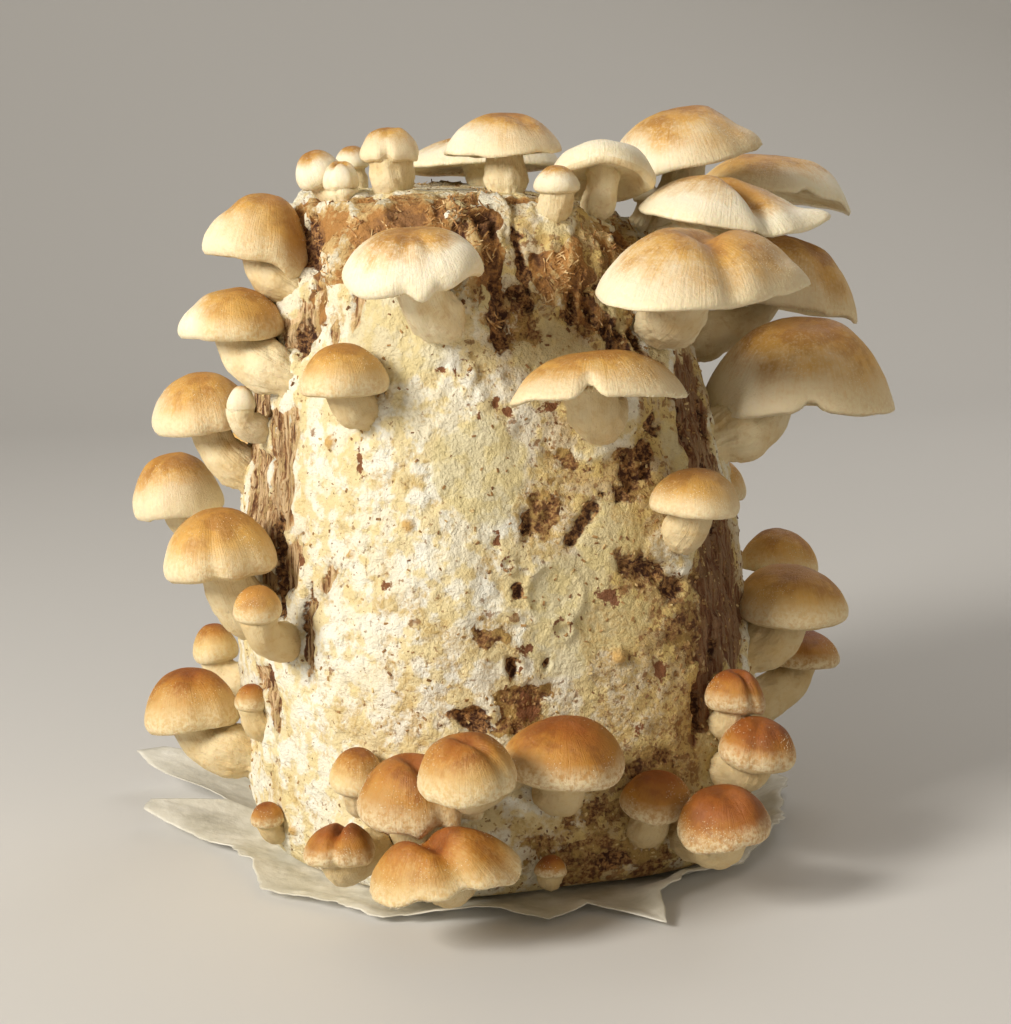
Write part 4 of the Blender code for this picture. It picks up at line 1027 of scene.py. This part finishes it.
def growStem(cap, shell):
    # the stem, from under the cap to inside the log; the point it ends at
    row, turn, root, stem = cap.row, shell.turn, stems["root"], cap.row.stem / 2
    foot, facing = feet[cap.name]
    neck = Vector(cap.at(0, np.zeros(1), cap.form["neck"], 1.0)[0])
    end = foot - facing * root * mm
    length = (end - neck).length
    # it hangs below the cap, but no lower than its foot, and then turns into the log
    hang = min(length * 0.45, max(neck.z - end.z, 0) * 0.75 + 1.5 * mm)
    handles = (neck, neck - cap.up * hang, end + (facing * 0.62 + Vector((0, 0, 0.5))) * length * 0.4, end)
    steps = howMany("stemRows", length / mm)
    for k in range(steps + 1):
        t = k / steps
        point, along = bezier(handles, t)
        side = (cap.across - along * cap.across.dot(along)).normalized()
        other = along.cross(side)
        clear = max((1 - t) * length / mm - root, 0)  # mm from the log
        thick = stem * (1 + (stems["swell"] - 1) * t**1.2) * (1 + stems["neckFlare"] * bell(t / 0.08))
        thick *= 1 + stems["footFlare"] * math.exp(-((clear / stem - 1.1) ** 2) * 2)
        # round the foot in where it meets the log
        thick *= math.sqrt(1 - 0.42 * max(1 - clear / (0.9 * stem), 0) ** 2)
        circle = roundPoints(turn, 1.4, t * length / mm / 9 + cap.order)
        wobble = 1 + stems["lumps"] * bumps(circle, 1.0, 51)
        wobble += stems["fineLumps"] * bumps(circle * 3.2, 1.0, 52)
        wobble += (0.015 + 0.09 * math.exp(-clear / 4)) * bumps(circle * 7, 1.0, 53)
        radial = np.cos(turn)[:, None] * np.array(side) + np.sin(turn)[:, None] * np.array(other)
        ring = np.array(point) + (thick * wobble * mm)[:, None] * radial
        shell.add(ring, 3.0, row.brown, 20 + t * length / mm * 0.5, False)
    return end


def growGills(cap, shell):
    # the ring of plates, stretched from the stem to the rim and up to the cap's underside
    (x, y, z), plateFaces = gillRings[cap.row.form][0].T, gillRings[cap.row.form][1]
    inner, rim, neck = cap.stemShare * 0.95, 0.925, cap.form["neck"]
    r = inner + (rim - inner) * np.clip((np.hypot(x, y) - 0.1) / 0.9, 0, 1)
    roof = np.interp(r, *np.array(sorted((p, q + 0.02) for p, q in cap.form["path"][-4:])).T)
    floor = np.interp(r, [inner, 0.8, rim], [neck, neck * 0.25, 0.0])
    turn = np.arctan2(y, x)
    shell.note(2.0, cap.row.brown, roundPoints(turn, 2, 12 + r * 4))
    return cap.at(r, turn, floor + (roof - floor) * z, cap.inward(r)), plateFaces


def growMushroom(name, row, order):
    cap = Cap(name, row, order)
    around = 2 * howMany("around", row.width)
    shell = Shell(around)
    growCap(cap, shell)
    end = growStem(cap, shell)
    count = len(shell.rings)
    points = np.vstack([*shell.rings, cap.at(0, np.zeros(1), 1), [np.array(end)]])
    shell.note(0, row.brown, roundPoints(np.zeros(1), 0, 0))  # the tip
    shell.note(3, row.brown, roundPoints(np.zeros(1), 0, 30))  # the stem's end
    ripple = ripples["large" if row.width > ripples["largeOver"] else "small"] * mm
    points = points + ripple * np.stack(
        [bumps(points, 8 * mm, 60 + k) + 0.35 * bumps(points, 3 * mm, 70 + k) for k in range(3)], axis=1)
    faces = [ringFaces(count, around)[:, ::-1], fanFaces(around, 0, count * around),
             fanFaces(around, (count - 1) * around, count * around + 1, flip=True)]
    isFlesh = np.repeat([not (a and b) for a, b in zip(shell.isSkin, shell.isSkin[1:])], around)
    faceMaterial = [isFlesh, np.zeros(around), np.ones(around)]
    if row.form in gillRings:
        bladePoints, bladeFaces = growGills(cap, shell)
        faces.append(bladeFaces + len(points))
        faceMaterial.append(np.ones(len(bladeFaces)))
        points = np.vstack([points, bladePoints])
    brown = row.level < brownBelow
    obj = makeObject("shiitake_" + name, points, faces, [brownSkin if brown else paleSkin, flesh],
                     np.concatenate(faceMaterial),
                     {key: np.concatenate(values) for key, values in shell.values.items()})
    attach(obj, "root")
    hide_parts("mushroom_" + name)
    return points[:sum(shell.isSkin) * around].reshape(-1, around, 3)


capSkins = [(row, growMushroom(name, row, order)) for order, (name, row) in enumerate(mushrooms.items())]
print("mushrooms:", len(mushrooms), "grown")


def capShell(where):
    # all the caps' skins as one mesh, with the share of pieces that each place gets
    points, faces, weight, first = [], [], [], 0
    for row, grid in capSkins:
        count, around, _ = grid.shape
        share = np.repeat(np.linspace(0, 1, count)[:, None], around, axis=1)
        points.append(grid.reshape(-1, 3))
        faces.append(ringFaces(count, around, first)[:, ::-1])
        weight.append(where(row, share, grid).ravel())
        first += count * around
    mesh = bpy.data.meshes.new("capShell")
    mesh.from_pydata(np.vstack(points).tolist(), [], np.vstack(faces).tolist())
    layer = mesh.attributes.new("scatter", "FLOAT", "POINT")
    layer.data.foreach_set("value", np.clip(np.concatenate(weight), 0, 1).astype(np.float32))
    return mesh


def fleckWeight(row, share, grid):
    patchy = layeredBumps(grid.reshape(-1, 3), 7 * mm, 81).reshape(share.shape)
    return (0.1 + 0.65 * row.brown) * bell((share - 0.7) / 0.3) * smoothStep(0.1 + 1.3 * patchy)


def fuzzWeight(row, share, grid):
    return ramp(share, 0.86, 0.12) * (0.45 + 0.55 * row.brown)


def fleckMaterial(name, colour):
    coat = Finish(name, {"Roughness": 0.75}, {"pale": colour, "darker": [c * 0.8 for c in colour]})
    coat.wire(coat.blend(coat.spread(coat.noise(400, 1.0), 0.35, 0.65), "darker", "pale"))
    return coat.material


# pale flecks on the caps, and fuzz along their edges
flecks = {"Per square metre": 4200000.0, "Smallest": 0.4, "Largest": 1.6, "Seed": 8}
fleckShape = ("GeometryNodeMeshUVSphere", {"Segments": 4, "Rings": 2, "Radius": 0.1 * mm})
fleckTree = scatterTree("fleckScatter", fleckShape, fleckMaterial("paleFlecks", (0.93, 0.84, 0.60)), 0.5)
fleckPiece = scatterPieces("capFlecks", capShell(fleckWeight), fleckTree, flecks)

fuzz = {"Per square metre": 5400000.0, "Smallest": 0.4, "Largest": 1.5, "Seed": 9}
hairShape = ("GeometryNodeMeshCone", {
    "Vertices": 3, "Radius Top": 0.0, "Radius Bottom": 0.08 * mm, "Depth": 1.2 * mm})
fuzzTree = scatterTree("fuzzScatter", hairShape, fleckMaterial("edgeFuzz", (0.95, 0.86, 0.64)), 0.7)
fuzzPiece = scatterPieces("edgeFuzz", capShell(fuzzWeight), fuzzTree, fuzz)

film = {
    # bearing in degrees, distance from the axis and height in mm
    "edge": [(-176, 84, 6), (-165, 90, 3), (-154, 83, 8), (-143, 92, 5), (-132, 84, 9), (-121, 90, 6),
             (-115, 121, 13), (-111, 126, 14), (-108, 118, 12), (-103, 96, 7), (-98, 86, 5), (-94, 107, 8),
             (-90, 108, 8), (-85, 99, 5), (-79, 90, 3), (-70, 83, 3), (-58, 83, 4), (-47, 90, 2),
             (-40, 88, 2), (-31, 87, 2), (-21, 91, 2), (-11, 86, 3), (-1, 84, 3), (7, 90, 2), (15, 81, 3),
             (20, 90, 2), (24, 102, 1), (29, 84, 3), (38, 80, 5), (52, 83, 4), (66, 81, 7), (80, 84, 5),
             (93, 82, 8), (105, 92, 4), (115, 84, 8), (128, 90, 3), (142, 88, 7), (154, 96, 3), (165, 86, 6),
             (175, 91, 3)],
    # more sizes in mm; the last two are shares of the way from the axis to the edge
    "thickness": 0.25, "jag": 0.8, "swing": 1.6, "level": 0.35, "lowest": 0.3, "folds": 1.8, "foot": 69.0,
    "around": 720, "rows": 30, "underLog": 0.2, "foldsFrom": 0.25,
    "cloudy": (0.80, 0.77, 0.65), "clear": (0.95, 0.93, 0.85),
}


def filmMaterial():
    coat = Finish("bagFilm", {"Roughness": 0.35}, film)
    cloudy = coat.spread(coat.noise(60), 0.35, 0.65)
    coat.wire(coat.blend(cloudy, "cloudy", "clear"))
    coat.wire(coat.spread(cloudy, 0.0, 1.0, 0.55, 0.88), "Alpha")
    coat.bump(coat.noise(240, 4.0), 0.8 * mm, 0.7)
    return coat.material


bearing = np.linspace(-180, 180, film["around"], endpoint=False)
turn = np.radians(bearing)
table = np.array(film["edge"], float)
table = np.vstack([table[-1] - (360, 0, 0), table, table[0] + (360, 0, 0)])
circle = roundPoints(turn, 1, 0)
reach = np.interp(bearing, table[:, 0], table[:, 1]) + film["jag"] * layeredBumps(circle, 0.04, 91)
reach += film["swing"] * bumps(circle, 0.16, 94)
rise = np.interp(bearing, table[:, 0], table[:, 2])
inner = logPoints(bearing, np.full_like(bearing, film["foot"]), np.full_like(bearing, 2.0))
inner = np.hypot(inner[:, 0], inner[:, 1]) / mm
level, under, foldsFrom = film["level"], film["underLog"], film["foldsFrom"]
sheetRows = []
for share in np.linspace(0, 1, film["rows"]):
    out = max(0.0, (share - under) / (1 - under))
    radius = inner * share / under * 0.999 + 0.5 if share < under else inner + (reach - inner) * out
    height = level + rise * smoothStep(out) * 0.8
    t = max(0.0, (share - foldsFrom) / (1 - foldsFrom))
    folds = bumps(roundPoints(turn, 3.4, 1.5 * t), 1.0, 92)
    folds += 0.16 * bumps(roundPoints(turn, 11, 5 * t), 1.0, 93)
    height = np.maximum(height + t * film["folds"] * folds, film["lowest"])
    sheetRows.append(np.stack([radius * np.sin(turn), -radius * np.cos(turn), height], axis=1) * mm)
sheetPoints = np.vstack([*sheetRows, [[0, 0, level * mm]]])
sheetFaces = [ringFaces(film["rows"], film["around"])[:, ::-1],
              fanFaces(film["around"], 0, film["rows"] * film["around"], flip=True)]
filmSheet = makeObject("bagFilm", sheetPoints, sheetFaces, [filmMaterial()])
wall = filmSheet.modifiers.new("wall", "SOLIDIFY")
wall.thickness = film["thickness"] * mm
wall.offset = 1.0
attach(filmSheet, "root")
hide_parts("film_base")
print("film: done")

studio = {"floor": 8.0, "back": 0.9, "bend": 0.7, "floorColour": (0.655, 0.65, 0.645),
          "farColour": (0.97, 0.96, 0.95), "near": 2.0, "far": 3.4, "worldColour": (1.0, 0.91, 0.78),
          "worldStrength": 0.24, "aim": (0, 0, 0.1)}
lights = {  # place, energy, size and colour
    "key": ((-0.88, -0.72, 0.68), 18.5, 0.42, (1.0, 0.945, 0.85)),
    "fill": ((0.9, -0.8, 0.4), 1.5, 0.8, (1.0, 0.86, 0.66)),
    "rim": ((0.5, 0.9, 0.9), 3.0, 0.6, (1.0, 0.96, 0.9)),
}
cameraSetup = {"place": (0.0025, -0.639, 0.208), "down": 10.1, "roll": 1.5, "lens": 78.05}
# the floor pales far out, to the tone of the light round it
floorCoat = Finish("studioFloor", {"Roughness": 0.6}, studio)
distance = floorCoat.add("ShaderNodeVectorMath", {0: floorCoat.spot}, operation="LENGTH").outputs["Value"]
floorCoat.wire(floorCoat.blend((distance, studio["near"], studio["far"]), "floorColour", "farColour"))
half, bend = studio["floor"] / 2, studio["bend"]
turns = np.linspace(0, math.pi / 2, 24)
profile = [(-half, 0.0)] + [(studio["back"] + bend * math.sin(a), bend - bend * math.cos(a)) for a in turns]
profile.append((studio["back"] + bend, half))
floorPoints = [(x, y, z) for y, z in profile for x in (-half, half)]
floorFaces = np.array([[2 * i, 2 * i + 1, 2 * i + 3, 2 * i + 2] for i in range(len(profile) - 1)])
floor = makeObject("studioFloor", floorPoints, [floorFaces], [floorCoat.material])
world = bpy.data.worlds.new("studio")
world.use_nodes = True
world.node_tree.nodes["Background"].inputs[0].default_value = (*studio["worldColour"], 1.0)
world.node_tree.nodes["Background"].inputs[1].default_value = studio["worldStrength"]
bpy.context.scene.world = world

for name, (place, energy, size, colour) in lights.items():
    light = bpy.data.lights.new(name, "AREA")
    light.energy, light.size, light.color = energy, size, colour
    holder = intoScene(name, light)
    holder.location = place
    holder.rotation_euler = (Vector(studio["aim"]) - Vector(place)).to_track_quat("-Z", "Y").to_euler()

camera = intoScene("camera", bpy.data.cameras.new("camera"))
camera.data.lens = cameraSetup["lens"]
camera.data.clip_start = 0.01
camera.location = cameraSetup["place"]
facing = Euler((math.radians(90 - cameraSetup["down"]), 0, 0)).to_matrix()
camera.rotation_euler = (facing @ Matrix.Rotation(math.radians(-cameraSetup["roll"]), 3, "Z")).to_euler()
bpy.context.scene.camera = camera
bpy.context.scene.view_settings.view_transform = "Standard"
